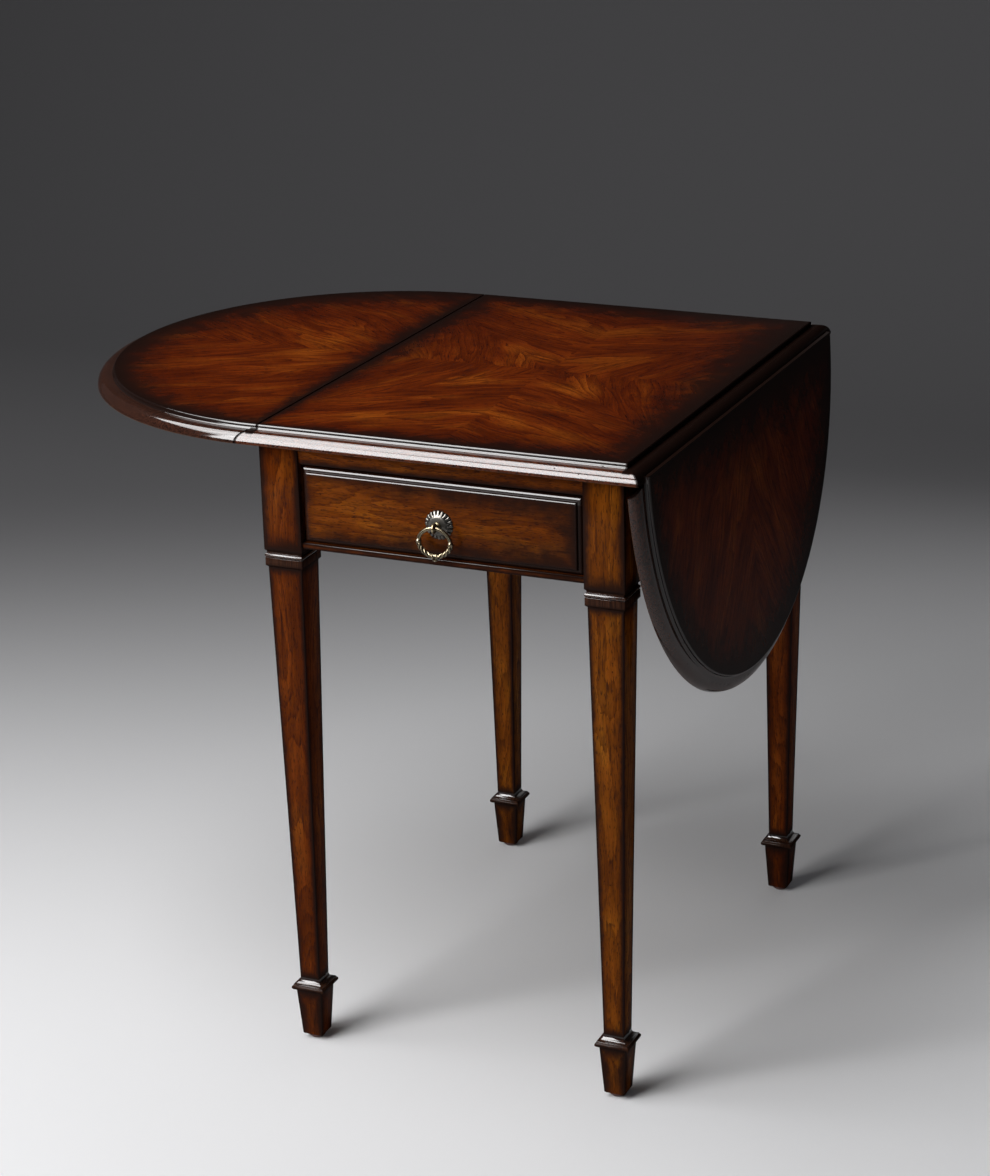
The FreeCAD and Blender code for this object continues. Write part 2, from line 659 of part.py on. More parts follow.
def rail_tenon(y, low, high, gap):
    """Tenon of a front or back rail in the right-hand leg."""
    half = TENON_THICKNESS / 2 + gap
    end = OPENING_HALF + TENON_LENGTH + gap
    return box((OPENING_HALF, y - half, low - gap), (end, y + half, high + gap))


def top_rail_tenon(gap):
    low = TOP_RAIL_BOTTOM + THIN_TENON_SHOULDER
    return rail_tenon(FRONT + RAIL_DEPTH / 2, low, UNDERSIDE - TENON_SHOULDER, gap)


def bottom_rail_tenon(gap):
    low = APRON_BOTTOM + THIN_TENON_SHOULDER
    return rail_tenon(FRONT + RAIL_DEPTH / 2, low, BEARER_TOP - THIN_TENON_SHOULDER, gap)


def back_tenon(gap):
    low = APRON_BOTTOM + TENON_SHOULDER
    return rail_tenon(BACK - APRON_THICKNESS / 2, low, UNDERSIDE - TENON_SHOULDER, gap)


def side_apron(side):
    board = box((APRON_IN, -LEG_INNER_Y, APRON_BOTTOM), (APRON_OUT, LEG_INNER_Y, UNDERSIDE))
    apron = fuse([board, apron_tenon(-1, 0), apron_tenon(1, 0)])
    return on_side(apron.cut(at_stays(stay_apron_screws(SCREW_CLEARANCE))), side)


def cross_rail(front, back, low, high, tenon):
    """Rail between the left and right legs with a tenon at each end."""
    board = box((-OPENING_HALF, front, low), (OPENING_HALF, back, high))
    return fuse([board, tenon, mirrored(tenon)])


def front_top_rail():
    return cross_rail(FRONT, FRONT + RAIL_DEPTH, TOP_RAIL_BOTTOM, UNDERSIDE, top_rail_tenon(0))


def front_bottom_rail():
    return cross_rail(FRONT, FRONT + BOTTOM_RAIL_DEPTH, APRON_BOTTOM, BEARER_TOP, bottom_rail_tenon(0))


def back_apron():
    return cross_rail(BACK - APRON_THICKNESS, BACK, APRON_BOTTOM, UNDERSIDE, back_tenon(0))


# Drawer carriage

def drawer_runner(side):
    """Runner under the drawer side with the guide that keeps the drawer straight."""
    front = max(FRONT + BOTTOM_RAIL_DEPTH, -LEG_INNER_Y)
    guide_x = DRAWER_HALF + GUIDE_GAP
    runner = box((APRON_IN - RUNNER_WIDTH, front, APRON_BOTTOM), (APRON_IN, LEG_INNER_Y, BEARER_TOP))
    guide = box((guide_x, front, BEARER_TOP), (APRON_IN, LEG_INNER_Y, BEARER_TOP + GUIDE_HEIGHT))
    return on_side(fuse([runner, guide]), side)


def drawer_kicker(side):
    """Strip above the drawer side that stops the drawer tipping and takes the top's screws."""
    low = (DRAWER_HALF - KICKER_WIDTH, FRONT + RAIL_DEPTH, TOP_RAIL_BOTTOM)
    high = (DRAWER_HALF, BACK - APRON_THICKNESS, UNDERSIDE)
    recesses = []
    for hole in top_screws(SCREW_CLEARANCE):
        centre = hole.BoundBox.Center
        mouth = Vector(centre.x, centre.y, TOP_RAIL_BOTTOM)
        recesses.append(cylinder(TOP_SCREW_HEAD_RADIUS + SCREW_CLEARANCE, TOP_SCREW_RECESS, mouth, Z))
    return on_side(box(low, high).cut(recesses + top_screws(SCREW_CLEARANCE)), side)


def drawer_stop():
    """Block on the back apron that the closed drawer meets."""
    low = (-STOP_WIDTH / 2, DRAWER_BOX_BACK + STOP_GAP, PANEL_TOP)
    return box(low, (STOP_WIDTH / 2, BACK - APRON_THICKNESS, PANEL_TOP + STOP_HEIGHT))


# Drawer

def lipped_section(low, high, across):
    """Section through the drawer front between two edges, with a double bead on each."""
    slant = math.sqrt(0.5)
    edges = []
    ends = []
    inset = LIP_LEDGE + LIP_ROUND
    ease = LIP_FILLET - LIP_STEP
    for edge, sign in ((low, 1), (high, -1)):
        def at(inwards, depth):
            return across * (edge + sign * inwards) + Y * (FRONT + depth)
        back_end = at(0, DRAWER_FRONT_THICKNESS)
        round_start = at(0, LIP_FILLET + LIP_ROUND)
        round_middle = at(LIP_ROUND * (1 - slant), LIP_FILLET + LIP_ROUND * (1 - slant))
        round_end = at(LIP_ROUND, LIP_FILLET)
        step = at(inset, LIP_FILLET)
        ease_start = at(inset, ease)
        ease_middle = at(inset + ease * (1 - slant), ease * (1 - slant))
        field = at(inset + ease, 0)
        edges += [line(back_end, round_start), arc(round_start, round_middle, round_end),
                  line(round_end, step), line(step, ease_start), arc(ease_start, ease_middle, field)]
        ends.append((field, back_end))
    edges.append(line(ends[0][0], ends[1][0]))
    edges.append(line(ends[0][1], ends[1][1]))
    return face(edges)


def drawer_front():
    half = DRAWER_FRONT_HALF
    height = DRAWER_TOP - DRAWER_BASE
    upright = lipped_section(DRAWER_BASE, DRAWER_TOP, Z).extrude(X * (2 * half)).translated(X * -half)
    level = lipped_section(-half, half, X).extrude(Z * height).translated(Z * DRAWER_BASE)
    post_hole = cylinder(POST_RADIUS + SCREW_CLEARANCE, DRAWER_FRONT_THICKNESS, Vector(0, FRONT, PULL_Z), Y)
    rebate = box((DRAWER_HALF, FRONT + DRAWER_LAP, DRAWER_BASE), (half, DRAWER_BOX_FRONT, DRAWER_TOP))
    end_cuts = front_tails(MORTISE_GAP) + [rebate]
    cuts = end_cuts + [mirrored(shape) for shape in end_cuts]
    return upright.common(level).cut(cuts + [bottom_panel(GROOVE_GAP), post_hole])


def bottom_panel(gap):
    """Drawer bottom in its grooves; gap makes the room for it."""
    half = DRAWER_HALF - DRAWER_WALL + GROOVE_DEPTH + gap
    return box((-half, DRAWER_BOX_FRONT - GROOVE_DEPTH - gap, PANEL_BASE - gap),
               (half, DRAWER_BOX_BACK + gap, PANEL_TOP + gap))


def dovetail(root, tip, middle, root_half, tip_half, gap):
    """Key through the thickness of the right drawer side, between two depths; gap makes the room for it."""
    inner = DRAWER_HALF - DRAWER_WALL - gap
    end = tip + math.copysign(gap, tip - root)
    corners = [(root, middle - root_half - gap), (root, middle + root_half + gap),
               (end, middle + tip_half + gap), (end, middle - tip_half - gap)]
    return polygon([Vector(inner, y, z) for y, z in corners]).extrude(X * (DRAWER_WALL + 2 * gap))


def along_joint(low, high):
    """Heights at which the keys of a dovetail joint stand, and their spacing."""
    pitch = (high - low) / TAIL_COUNT
    return [low + (number + 0.5) * pitch for number in range(TAIL_COUNT)], pitch


def front_tails(gap):
    """Tails on the front end of the right drawer side, lapped by the drawer front."""
    middles, pitch = along_joint(DRAWER_BASE, DRAWER_TOP - DRAWER_SIDE_DROP)
    tip = FRONT + DRAWER_LAP
    spread = (DRAWER_BOX_FRONT - tip) * math.tan(math.radians(TAIL_SLOPE))
    half = (pitch - TAIL_SPACE) / 2
    return [dovetail(DRAWER_BOX_FRONT, tip, middle, half - spread, half, gap) for middle in middles]


def back_pins(gap):
    """Pins on the right end of the drawer back, which pass through the drawer side."""
    middles, pitch = along_joint(PANEL_TOP + GROOVE_GAP, DRAWER_TOP - DRAWER_BACK_DROP)
    root = DRAWER_BOX_BACK - DRAWER_WALL
    half = TAIL_SPACE / 2
    spread = DRAWER_WALL * math.tan(math.radians(TAIL_SLOPE))
    return [dovetail(root, DRAWER_BOX_BACK, middle, half + spread, half, gap) for middle in middles]


def drawer_side(side):
    low = (DRAWER_HALF - DRAWER_WALL, DRAWER_BOX_FRONT, DRAWER_BASE)
    high = (DRAWER_HALF, DRAWER_BOX_BACK, DRAWER_TOP - DRAWER_SIDE_DROP)
    board = fuse([box(low, high)] + front_tails(0))
    return on_side(board.cut([bottom_panel(GROOVE_GAP)] + back_pins(MORTISE_GAP)), side)


def drawer_back():
    half = DRAWER_HALF - DRAWER_WALL
    board = box((-half, DRAWER_BOX_BACK - DRAWER_WALL, PANEL_TOP + GROOVE_GAP),
                (half, DRAWER_BOX_BACK, DRAWER_TOP - DRAWER_BACK_DROP))
    pins = back_pins(0)
    return fuse([board] + pins + [mirrored(shape) for shape in pins])


# Ring pull

def pull_rosette():
    """Round back plate: a raised rim, a dish and a domed middle, bored for the post."""
    bore = POST_RADIUS + SCREW_CLEARANCE
    rim_low = ROSETTE_RIM_HEIGHT - ROSETTE_RIM

    def at(radius, height):
        return Vector(radius, -height, 0)
    back_out = at(ROSETTE_RADIUS, 0)
    rim_out = at(ROSETTE_RADIUS, rim_low)
    rim_top = at(ROSETTE_RADIUS - ROSETTE_RIM, ROSETTE_RIM_HEIGHT)
    rim_in = at(ROSETTE_RADIUS - 2 * ROSETTE_RIM, rim_low)
    dish_out = at(ROSETTE_RADIUS - 2 * ROSETTE_RIM, ROSETTE_DISH_HEIGHT)
    dome_foot = at(ROSETTE_DOME_RADIUS, ROSETTE_DISH_HEIGHT)
    dome_top = at(bore, ROSETTE_DOME_HEIGHT)
    back_in = at(bore, 0)
    chord = dome_top - dome_foot
    outwards = Vector(-chord.y, chord.x, 0).normalize() * -ROSETTE_DOME_BULGE
    dome_middle = (dome_foot + dome_top) / 2 + outwards
    edges = [line(back_in, back_out), line(back_out, rim_out), arc(rim_out, rim_top, rim_in),
             line(rim_in, dish_out), line(dish_out, dome_foot), arc(dome_foot, dome_middle, dome_top),
             line(dome_top, back_in)]
    disc = face(edges).revolve(Vector(0, 0, 0), Y, 360)
    return disc.translated(Vector(0, FRONT, PULL_Z))


def pull_post():
    """Post through the drawer front, with a collar on the rosette and the eye that holds the ring."""
    centre = Vector(0, EYE_Y, PULL_Z)
    eye_radius = RING_WIRE_RADIUS + RING_EYE_GAP + EYE_WIRE_RADIUS
    collar_base = Vector(0, FRONT - ROSETTE_DOME_HEIGHT, PULL_Z)
    collar = Part.makeCone(POST_COLLAR_RADIUS, POST_RADIUS, POST_COLLAR_HEIGHT, collar_base, -Y)
    inner_end = DRAWER_BOX_FRONT + NUT_HEIGHT + POST_RADIUS
    neck_end = EYE_Y + eye_radius
    shank = cylinder(POST_RADIUS, inner_end - neck_end, Vector(0, neck_end, PULL_Z), Y)
    eye = Part.makeTorus(eye_radius, EYE_WIRE_RADIUS, centre, X)
    hole = cylinder(RING_WIRE_RADIUS + RING_EYE_GAP, 2 * POST_RADIUS, centre - X * POST_RADIUS, X)
    return fuse([shank.cut(hole), collar, eye])


def pull_nut():
    """Hexagon nut that draws the post tight behind the drawer front."""
    corner = NUT_ACROSS / math.sqrt(3)
    points = []
    for step in range(6):
        angle = math.radians(60 * step)
        points.append(Vector(corner * math.cos(angle), DRAWER_BOX_FRONT, PULL_Z + corner * math.sin(angle)))
    bore = cylinder(POST_RADIUS + NUT_CLEARANCE, NUT_HEIGHT, Vector(0, DRAWER_BOX_FRONT, PULL_Z), Y)
    return polygon(points).extrude(Y * NUT_HEIGHT).cut(bore)


def pull_ring():
    """Oval ring hanging in the eye: plain wire above, thicker below, with two beads, a knop and a bud."""
    half_width = RING_WIDTH / 2 - RING_ROPE_RADIUS
    half_height = (RING_HEIGHT - RING_WIRE_RADIUS - RING_ROPE_RADIUS) / 2
    end_radius = RING_END_SHARE * half_height
    end_x = half_width - end_radius
    flat_radius = (end_x ** 2 + half_height ** 2 - end_radius ** 2) / (2 * (half_height - end_radius))
    flat_z = flat_radius - half_height
    end_sweep = math.degrees(math.atan2(flat_z, end_x))
    flat_sweep = 180 - 2 * end_sweep
    centre = Vector(0, EYE_Y, PULL_Z - half_height)
    head = centre + Z * half_height
    foot = centre - Z * half_height
    end = centre + X * half_width

    def bar(radius, point, direction, pivot, start, sweep):
        section = Part.Face(Part.Wire(Part.makeCircle(radius, point, direction)))
        return section.rotated(pivot, Y, start).revolve(pivot, Y, sweep)
    end_pivot = centre + X * end_x
    shapes = [bar(RING_WIRE_RADIUS, head, X, centre - Z * flat_z, -flat_sweep / 2, flat_sweep),
              bar(RING_ROPE_RADIUS, foot, X, centre + Z * flat_z, -flat_sweep / 2, flat_sweep)]
    ends = [bar(RING_WIRE_RADIUS, end, Z, end_pivot, -end_sweep, end_sweep),
            bar(RING_ROPE_RADIUS, end, Z, end_pivot, 0, end_sweep),
            Part.makeSphere(RING_BEAD_RADIUS, end)]
    shapes += ends + [mirrored(shape) for shape in ends]
    half = RING_KNOP_LENGTH / 2
    shapes.append(Part.makeCone(RING_ROPE_RADIUS, RING_KNOP_RADIUS, half, foot - X * half, X))
    shapes.append(Part.makeCone(RING_KNOP_RADIUS, RING_ROPE_RADIUS, half, foot, X))
    shapes.append(Part.makeCone(RING_BUD_RADIUS, RING_BUD_TIP, RING_BUD_LENGTH, foot, -Z))
    return fuse(shapes)


# Nodes

def fixed_group(shapes, side):
    """Pieces that stay with the leg frame, on the named side, as one node."""
    return group([on_side(shape, side) for shape in shapes])


def leaf_group(shapes, side):
    """Pieces that move with the leaf, on the named side, as one node."""
    return group([leaf_pose(shape, side) for shape in shapes])


def side_nodes(side):
    """Name and shape of every node that is there once on each side."""
    knee, folded_knee = stay_layout()[2:]
    raised = side == "left"
    apron_arm = stay_apron_arm(knee if raised else folded_knee)
    leaf_arm = stay_leaf_arm() if raised else folded_leaf_arm()
    parts = {
        "side_apron": side_apron(side),
        "drawer_runner": drawer_runner(side),
        "drawer_kicker": drawer_kicker(side),
        "drawer_side": drawer_side(side),
        "leaf": leaf_pose(raised_leaf(), side),
        "hinge_top_plates": fixed_group(at_hinges([hinge_top_plate()]), side),
        "hinge_pins": fixed_group(at_hinges([hinge_pin()]), side),
        "hinge_top_screws": fixed_group(at_hinges(hinge_top_screws(0)), side),
        "hinge_leaf_plates": leaf_group(at_hinges([hinge_leaf_plate()]), side),
        "hinge_leaf_screws": leaf_group(at_hinges(hinge_leaf_screws(0)), side),
        "stay_brackets": fixed_group(at_stays([stay_apron_bracket()]), side),
        "stay_apron_arms": fixed_group(at_stays([apron_arm]), side),
        "stay_leaf_arms": fixed_group(at_stays([leaf_arm]), side),
        "stay_leaf_brackets": leaf_group(at_stays([stay_leaf_bracket()]), side),
        "stay_screws": fixed_group(at_stays(stay_apron_screws(0)), side),
        "stay_leaf_screws": leaf_group(at_stays(stay_leaf_screws(0)), side),
    }
    return {name + "_" + side: shape for name, shape in parts.items()}


def nodes():
    """Name and shape of every node."""
    parts = {
        "center_top": center_top(),
        "leg_front_left": leg(-1, -1),
        "leg_front_right": leg(-1, 1),
        "leg_back_left": leg(1, -1),
        "leg_back_right": leg(1, 1),
        "floor_glides": floor_glides(),
        "back_apron": back_apron(),
        "front_top_rail": front_top_rail(),
        "front_bottom_rail": front_bottom_rail(),
        "drawer_stop": drawer_stop(),
        "drawer_front": drawer_front(),
        "drawer_back": drawer_back(),
        "drawer_bottom": bottom_panel(0),
        "pull_rosette": pull_rosette(),
        "pull_post": pull_post(),
        "pull_nut": pull_nut(),
        "pull_ring": pull_ring(),
        "top_screws": group([on_side(shape, side) for side in SIDES for shape in top_screws(0)]),
    }
    for side in SIDES:
        parts.update(side_nodes(side))
    return parts


os.makedirs("parts", exist_ok=True)
for name, shape in nodes().items():
    shape.exportStep("parts/" + name + ".step")
    state = "valid" if shape.isValid() else "not valid"
    print(name, len(shape.Solids), "solids", round(shape.Volume / 1000, 2), "cm3", state)
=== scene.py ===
"""Looks of a pembroke table: veneered top and leaves, tapered legs, drawer and ring pull.

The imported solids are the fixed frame, in metres: +X right along the front, -Y front, +Z up.
"""
import json
import logging
import math
from collections.abc import Callable, Iterable, Mapping
from dataclasses import dataclass, replace
from enum import Enum
from typing import ClassVar

import bmesh
import bpy
from mathutils import Matrix, Vector

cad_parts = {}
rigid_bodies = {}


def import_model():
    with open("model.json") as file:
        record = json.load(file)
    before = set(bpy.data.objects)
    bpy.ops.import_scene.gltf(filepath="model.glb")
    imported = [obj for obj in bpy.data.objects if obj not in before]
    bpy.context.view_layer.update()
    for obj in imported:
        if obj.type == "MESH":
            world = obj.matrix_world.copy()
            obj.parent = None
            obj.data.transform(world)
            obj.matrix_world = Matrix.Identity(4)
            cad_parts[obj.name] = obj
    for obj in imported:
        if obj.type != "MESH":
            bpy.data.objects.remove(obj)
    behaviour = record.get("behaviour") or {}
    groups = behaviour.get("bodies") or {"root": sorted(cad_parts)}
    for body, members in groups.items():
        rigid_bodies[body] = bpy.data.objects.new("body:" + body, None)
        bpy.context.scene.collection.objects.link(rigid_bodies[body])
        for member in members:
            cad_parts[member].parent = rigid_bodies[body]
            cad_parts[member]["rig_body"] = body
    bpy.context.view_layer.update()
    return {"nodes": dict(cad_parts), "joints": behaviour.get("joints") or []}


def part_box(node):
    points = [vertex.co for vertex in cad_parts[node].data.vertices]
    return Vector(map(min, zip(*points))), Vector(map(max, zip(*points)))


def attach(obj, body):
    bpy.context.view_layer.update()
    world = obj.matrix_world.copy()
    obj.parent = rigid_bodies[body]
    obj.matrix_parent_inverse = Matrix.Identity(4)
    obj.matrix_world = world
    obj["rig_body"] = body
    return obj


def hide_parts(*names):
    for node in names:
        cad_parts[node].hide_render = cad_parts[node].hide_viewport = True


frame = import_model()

LOG = logging.getLogger("pembroke_table")

Color = tuple[float, float, float]
Place = tuple[float, float, float]
Pair = tuple[float, float]
Span = tuple[float, float, float, float]
Socket = bpy.types.NodeSocket
Outputs = Mapping[str, Socket]
Mesh = bmesh.types.BMesh
Layer = bmesh.types.BMLayerItem
Geometry = list[bmesh.types.BMVert | bmesh.types.BMEdge]


class Axis(Enum):
    """Direction in which the grain of a board runs."""

    X = 0
    Y = 1


class Side(Enum):
    """Side of the table, by the sign of its X."""

    LEFT = -1
    RIGHT = 1

    @property
    def word(self) -> str:
        """Name of the side as the solids spell it."""
        return self.name.lower()


@dataclass(frozen=True)
class EdgeMoulding:
    """Sizes of the moulded edge and of the rule joint, which the solids carry in their shape."""

    width: float = 0.018
    underside: float = 0.694
    round_radius: float = 0.0117
    ledge_width: float = 0.0063
    leaf_straight: float = 0.0075

    @property
    def ledge(self) -> float:
        """Height of the ledge between the round and the upright edge."""
        return self.underside + self.round_radius


@dataclass(frozen=True)
class LegShape:
    """Heights and half widths of a leg, which the solids carry in their shape."""

    block_half: float = 0.022
    block_bottom: float = 0.5765
    bead: float = 0.5700
    bead_height: float = 0.0050
    shaft_top: float = 0.557
    shaft_top_half: float = 0.0194
    shaft_foot: float = 0.0749
    shaft_foot_half: float = 0.0114
    cove: float = 0.0712
    cove_height: float = 0.0070
    spade_top: float = 0.0615
    spade_top_half: float = 0.0152
    spade_foot_half: float = 0.0116


EDGE = EdgeMoulding()
LEG = LegShape()


class NodeKit:
    """Short ways to add and link shader nodes in one tree."""

    mix_factor = 0
    mix_colors = (6, 7)
    mix_result = 2

    def __init__(self, tree: bpy.types.NodeTree) -> None:
        """Keep the tree that the nodes go into."""
        self.tree = tree

    def node(self, kind: str, **settings: object) -> bpy.types.Node:
        """Add a node.

        Args:
            kind: Blender's name of the node type.
            settings: properties of the node to set.

        Returns:
            The new node.
        """
        node = self.tree.nodes.new(kind)
        for name, value in settings.items():
            setattr(node, name, value)
        return node

    def feed(self, socket: Socket, value: object) -> None:
        """Link a socket to another one, or set it to a plain value.

        Args:
            socket: input of a node.
            value: output that is linked to it, or the value that it takes.
        """
        if isinstance(value, bpy.types.NodeSocket):
            self.tree.links.new(value, socket)
        else:
            socket.default_value = value

    def feed_first(self, node: bpy.types.Node, values: Iterable[object]) -> bpy.types.Node:
        """Feed the first inputs of a node, in order.

        Args:
            node: node that is fed.
            values: what goes into each input.

        Returns:
            The node.
        """
        for socket, value in zip(node.inputs, values):
            self.feed(socket, value)
        return node

    def feed_named(self, node: bpy.types.Node, **inputs: object) -> bpy.types.Node:
        """Feed the inputs of a node by name.

        Args:
            node: node that is fed.
            inputs: what goes into each input, whose name has _ for a space.

        Returns:
            The node.
        """
        for name, value in inputs.items():
            self.feed(node.inputs[name.replace("_", " ")], value)
        return node

    def object_place(self) -> Socket:
        """Return the place on a piece, in the frame's metres."""
        return self.node("ShaderNodeTexCoord").outputs["Object"]

    def math(self, operation: str, *values: object) -> Socket:
        """Return the result of a Math node on sockets or numbers."""
        return self.feed_first(self.node("ShaderNodeMath", operation=operation), values).outputs[0]

    def vector_math(self, operation: str, *values: object) -> Socket:
        """Return the vector result of a Vector Math node."""
        node = self.node("ShaderNodeVectorMath", operation=operation)
        return self.feed_first(node, values).outputs["Vector"]

    def length(self, vector: Socket) -> Socket:
        """Return the length of a vector."""
        node = self.node("ShaderNodeVectorMath", operation="LENGTH")
        return self.feed_first(node, (vector,)).outputs["Value"]

    def split(self, vector: Socket) -> tuple[Socket, Socket, Socket]:
        """Return the three parts of a vector."""
        return tuple(self.feed_first(self.node("ShaderNodeSeparateXYZ"), (vector,)).outputs)

    def join(self, x: object, y: object, z: object) -> Socket:
        """Return a vector made of three sockets or numbers."""
        return self.feed_first(self.node("ShaderNodeCombineXYZ"), (x, y, z)).outputs[0]

    def step(self, value: Socket, low: object, high: object) -> Socket:
        """Return a smooth step from 0 at low to 1 at high, which may be the lesser of the two."""
        node = self.node("ShaderNodeMapRange", interpolation_type="SMOOTHSTEP")
        return self.feed_first(node, (value, low, high)).outputs["Result"]

    def span(self, value: Socket, low: float, high: float, start: float, end: float) -> Socket:
        """Return a value mapped straight from low..high to start..end, held at both ends."""
        node = self.node("ShaderNodeMapRange", interpolation_type="LINEAR", clamp=True)
        return self.feed_first(node, (value, low, high, start, end)).outputs["Result"]

    def noise(self, vector: Socket, scale: float, detail: float, roughness: float = 0.5) -> Socket:
        """Return a noise between 0 and 1.

        Args:
            vector: place that the noise is read at.
            scale: how fine it is.
            detail: how many finer layers it has.
            roughness: how strong those layers are.

        Returns:
            The noise.
        """
        node = self.node("ShaderNodeTexNoise")
        self.feed_named(node, Vector=vector, Scale=scale, Detail=detail, Roughness=roughness)
        return node.outputs["Fac"]

    def mix(self, factor: object, first: object, second: object, blend: str = "MIX") -> Socket:
        """Mix two colours.

        Args:
            factor: share of the second colour.
            first: socket or colour that is there.
            second: socket or colour that is laid over it.
            blend: Blender's name of the way they blend.

        Returns:
            The mixed colour.
        """
        node = self.node("ShaderNodeMix", data_type="RGBA", blend_type=blend)
        self.feed(node.inputs[self.mix_factor], factor)
        for number, color in zip(self.mix_colors, (first, second)):
            linked = isinstance(color, bpy.types.NodeSocket)
            self.feed(node.inputs[number], color if linked else (*color, 1.0))
        return node.outputs[self.mix_result]

    def bump(self, height: Socket, strength: float, distance: float) -> Socket:
        """Turn a height into a normal.

        Args:
            height: the fine relief of a surface.
            strength: how strongly it shows.
            distance: how high it stands, in metres.

        Returns:
            The normal of the relief.
        """
        node = self.node("ShaderNodeBump")
        self.feed_named(node, Height=height, Strength=strength, Distance=distance)
        return node.outputs["Normal"]

    def place(self, group: bpy.types.NodeTree, **inputs: object) -> bpy.types.Node:
        """Add a node group and feed its inputs, whose names have _ for a space."""
        return self.feed_named(self.node("ShaderNodeGroup", node_tree=group), **inputs)


class EffectGroup:
    """A shader node group, built once and placed in many materials."""

    name = "effect"
    inputs: tuple[tuple[str, str], ...] = ()
    outputs: tuple[tuple[str, str], ...] = ()

    def tree(self) -> bpy.types.NodeTree:
        """Find the group, or build it on first use.

        Returns:
            The group.
        """
        found = bpy.data.node_groups.get(self.name)
        if found is not None:
            return found
        group = bpy.data.node_groups.new(self.name, "ShaderNodeTree")
        for direction, sockets in (("INPUT", self.inputs), ("OUTPUT", self.outputs)):
            for socket_name, kind in sockets:
                group.interface.new_socket(socket_name, in_out=direction, socket_type="NodeSocket" + kind)
        kit = NodeKit(group)
        source = kit.node("NodeGroupInput")
        target = kit.node("NodeGroupOutput")
        for socket_name, value in self.build(kit, source.outputs).items():
            kit.feed(target.inputs[socket_name], value)
        return group

    def build(self, kit: NodeKit, source: Outputs) -> dict[str, Socket]:
        """Build the nodes between the group's inputs and outputs."""
        raise NotImplementedError


class Sunburst(EffectGroup):
    """Turns a flat place into the grain of matched wedges that meet in the middle."""

    name = "sunburst_match"
    inputs = (("Vector", "Vector"), ("Wedges", "Float"), ("Slant", "Float"))
    outputs = (("Grain", "Vector"),)
    sheet = 0.004

    def build(self, kit: NodeKit, source: Outputs) -> dict[str, Socket]:
        """Turn the place about the middle into the wedge that it lies in, every other one mirrored.

        Args:
            kit: takes the nodes.
            source: the group's inputs.

        Returns:
            The place along, across and through the grain, each wedge a sheet of veneer deeper.
        """
        x, y, z = kit.split(source["Vector"])
        wedge = kit.math("DIVIDE", 2 * math.pi, source["Wedges"])
        turn = kit.math("DIVIDE", kit.math("ARCTAN2", y, x), wedge)
        angle = kit.math("MULTIPLY", kit.math("PINGPONG", turn, 1.0), wedge)
        slanted = kit.math("SUBTRACT", angle, source["Slant"])
        radius = kit.length(kit.join(x, y, 0.0))
        along = kit.math("MULTIPLY", radius, kit.math("COSINE", slanted))
        across = kit.math("MULTIPLY", radius, kit.math("SINE", slanted))
        depth = kit.math("MULTIPLY_ADD", kit.math("FLOOR", turn), self.sheet, z)
        return {"Grain": kit.join(along, across, depth)}


@dataclass(frozen=True)
class GrainNoise:
    """A noise drawn out along the grain, at the scale of one feature of the wood."""

    stretch: Place
    detail: float
    roughness: float = 0.5

    def at(self, kit: NodeKit, grain: Socket) -> Socket:
        """Return the noise at a place along, across and through the grain."""
        place = kit.vector_math("MULTIPLY", grain, self.stretch)
        return kit.noise(place, 1.0, self.detail, self.roughness)


class WoodFigure(EffectGroup):
    """Figure, growth lines, fibres and pores of sawn wood whose grain runs along X of its input."""

    name = "wood_figure"
    inputs = (("Grain", "Vector"), ("Curl", "Float"))
    outputs = (("Figure", "Float"), ("Lines", "Float"), ("Streaks", "Float"), ("Fibre", "Float"),
               ("Pores", "Float"))
    sway = GrainNoise((5.0, 9.0, 9.0), 2.0)
    figure = GrainNoise((8.0, 24.0, 24.0), 3.0, 0.55)
    streaks = GrainNoise((16.0, 190.0, 190.0), 3.0, 0.65)
    fibre = GrainNoise((22.0, 620.0, 620.0), 3.0, 0.6)
    growth = GrainNoise((3.4, 21.0, 21.0), 2.0, 0.45)
    fine_pores = GrainNoise((150.0, 1000.0, 1000.0), 1.5)
    dashes = GrainNoise((55.0, 430.0, 430.0), 1.5)
    ring_count = 15.0
    ring_raggedness = 0.5
    line_sharpness = 2.0
    fine_from = (0.54, 0.70)
    dash_from = (0.55, 0.70)
    dash_in_ring = 0.7

    def build(self, kit: NodeKit, source: Outputs) -> dict[str, Socket]:
        """Sway the grain, and read each feature's noise along it.

        Args:
            kit: takes the nodes.
            source: the group's inputs.

        Returns:
            The features of the wood, each from 0 to 1.
        """
        along, across, depth = kit.split(source["Grain"])
        aside = kit.math("SUBTRACT", self.sway.at(kit, source["Grain"]), 0.5)
        shift = kit.math("MULTIPLY", aside, source["Curl"])
        grain = kit.join(along, kit.math("ADD", across, shift), depth)
        fibre = self.fibre.at(kit, grain)
        ragged = kit.math("MULTIPLY", fibre, self.ring_raggedness)
        growth = kit.math("MULTIPLY_ADD", self.growth.at(kit, grain), self.ring_count, ragged)
        rings = kit.math("FRACT", growth)
        share = kit.math("MULTIPLY_ADD", rings, self.dash_in_ring, 1.0 - self.dash_in_ring)
        dashes = kit.math("MULTIPLY", kit.step(self.dashes.at(kit, grain), *self.dash_from), share)
        fine = kit.step(self.fine_pores.at(kit, grain), *self.fine_from)
        return {"Figure": self.figure.at(kit, grain),
                "Lines": kit.math("POWER", rings, self.line_sharpness),
                "Streaks": self.streaks.at(kit, grain),
                "Fibre": fibre,
                "Pores": kit.math("MAXIMUM", fine, dashes)}


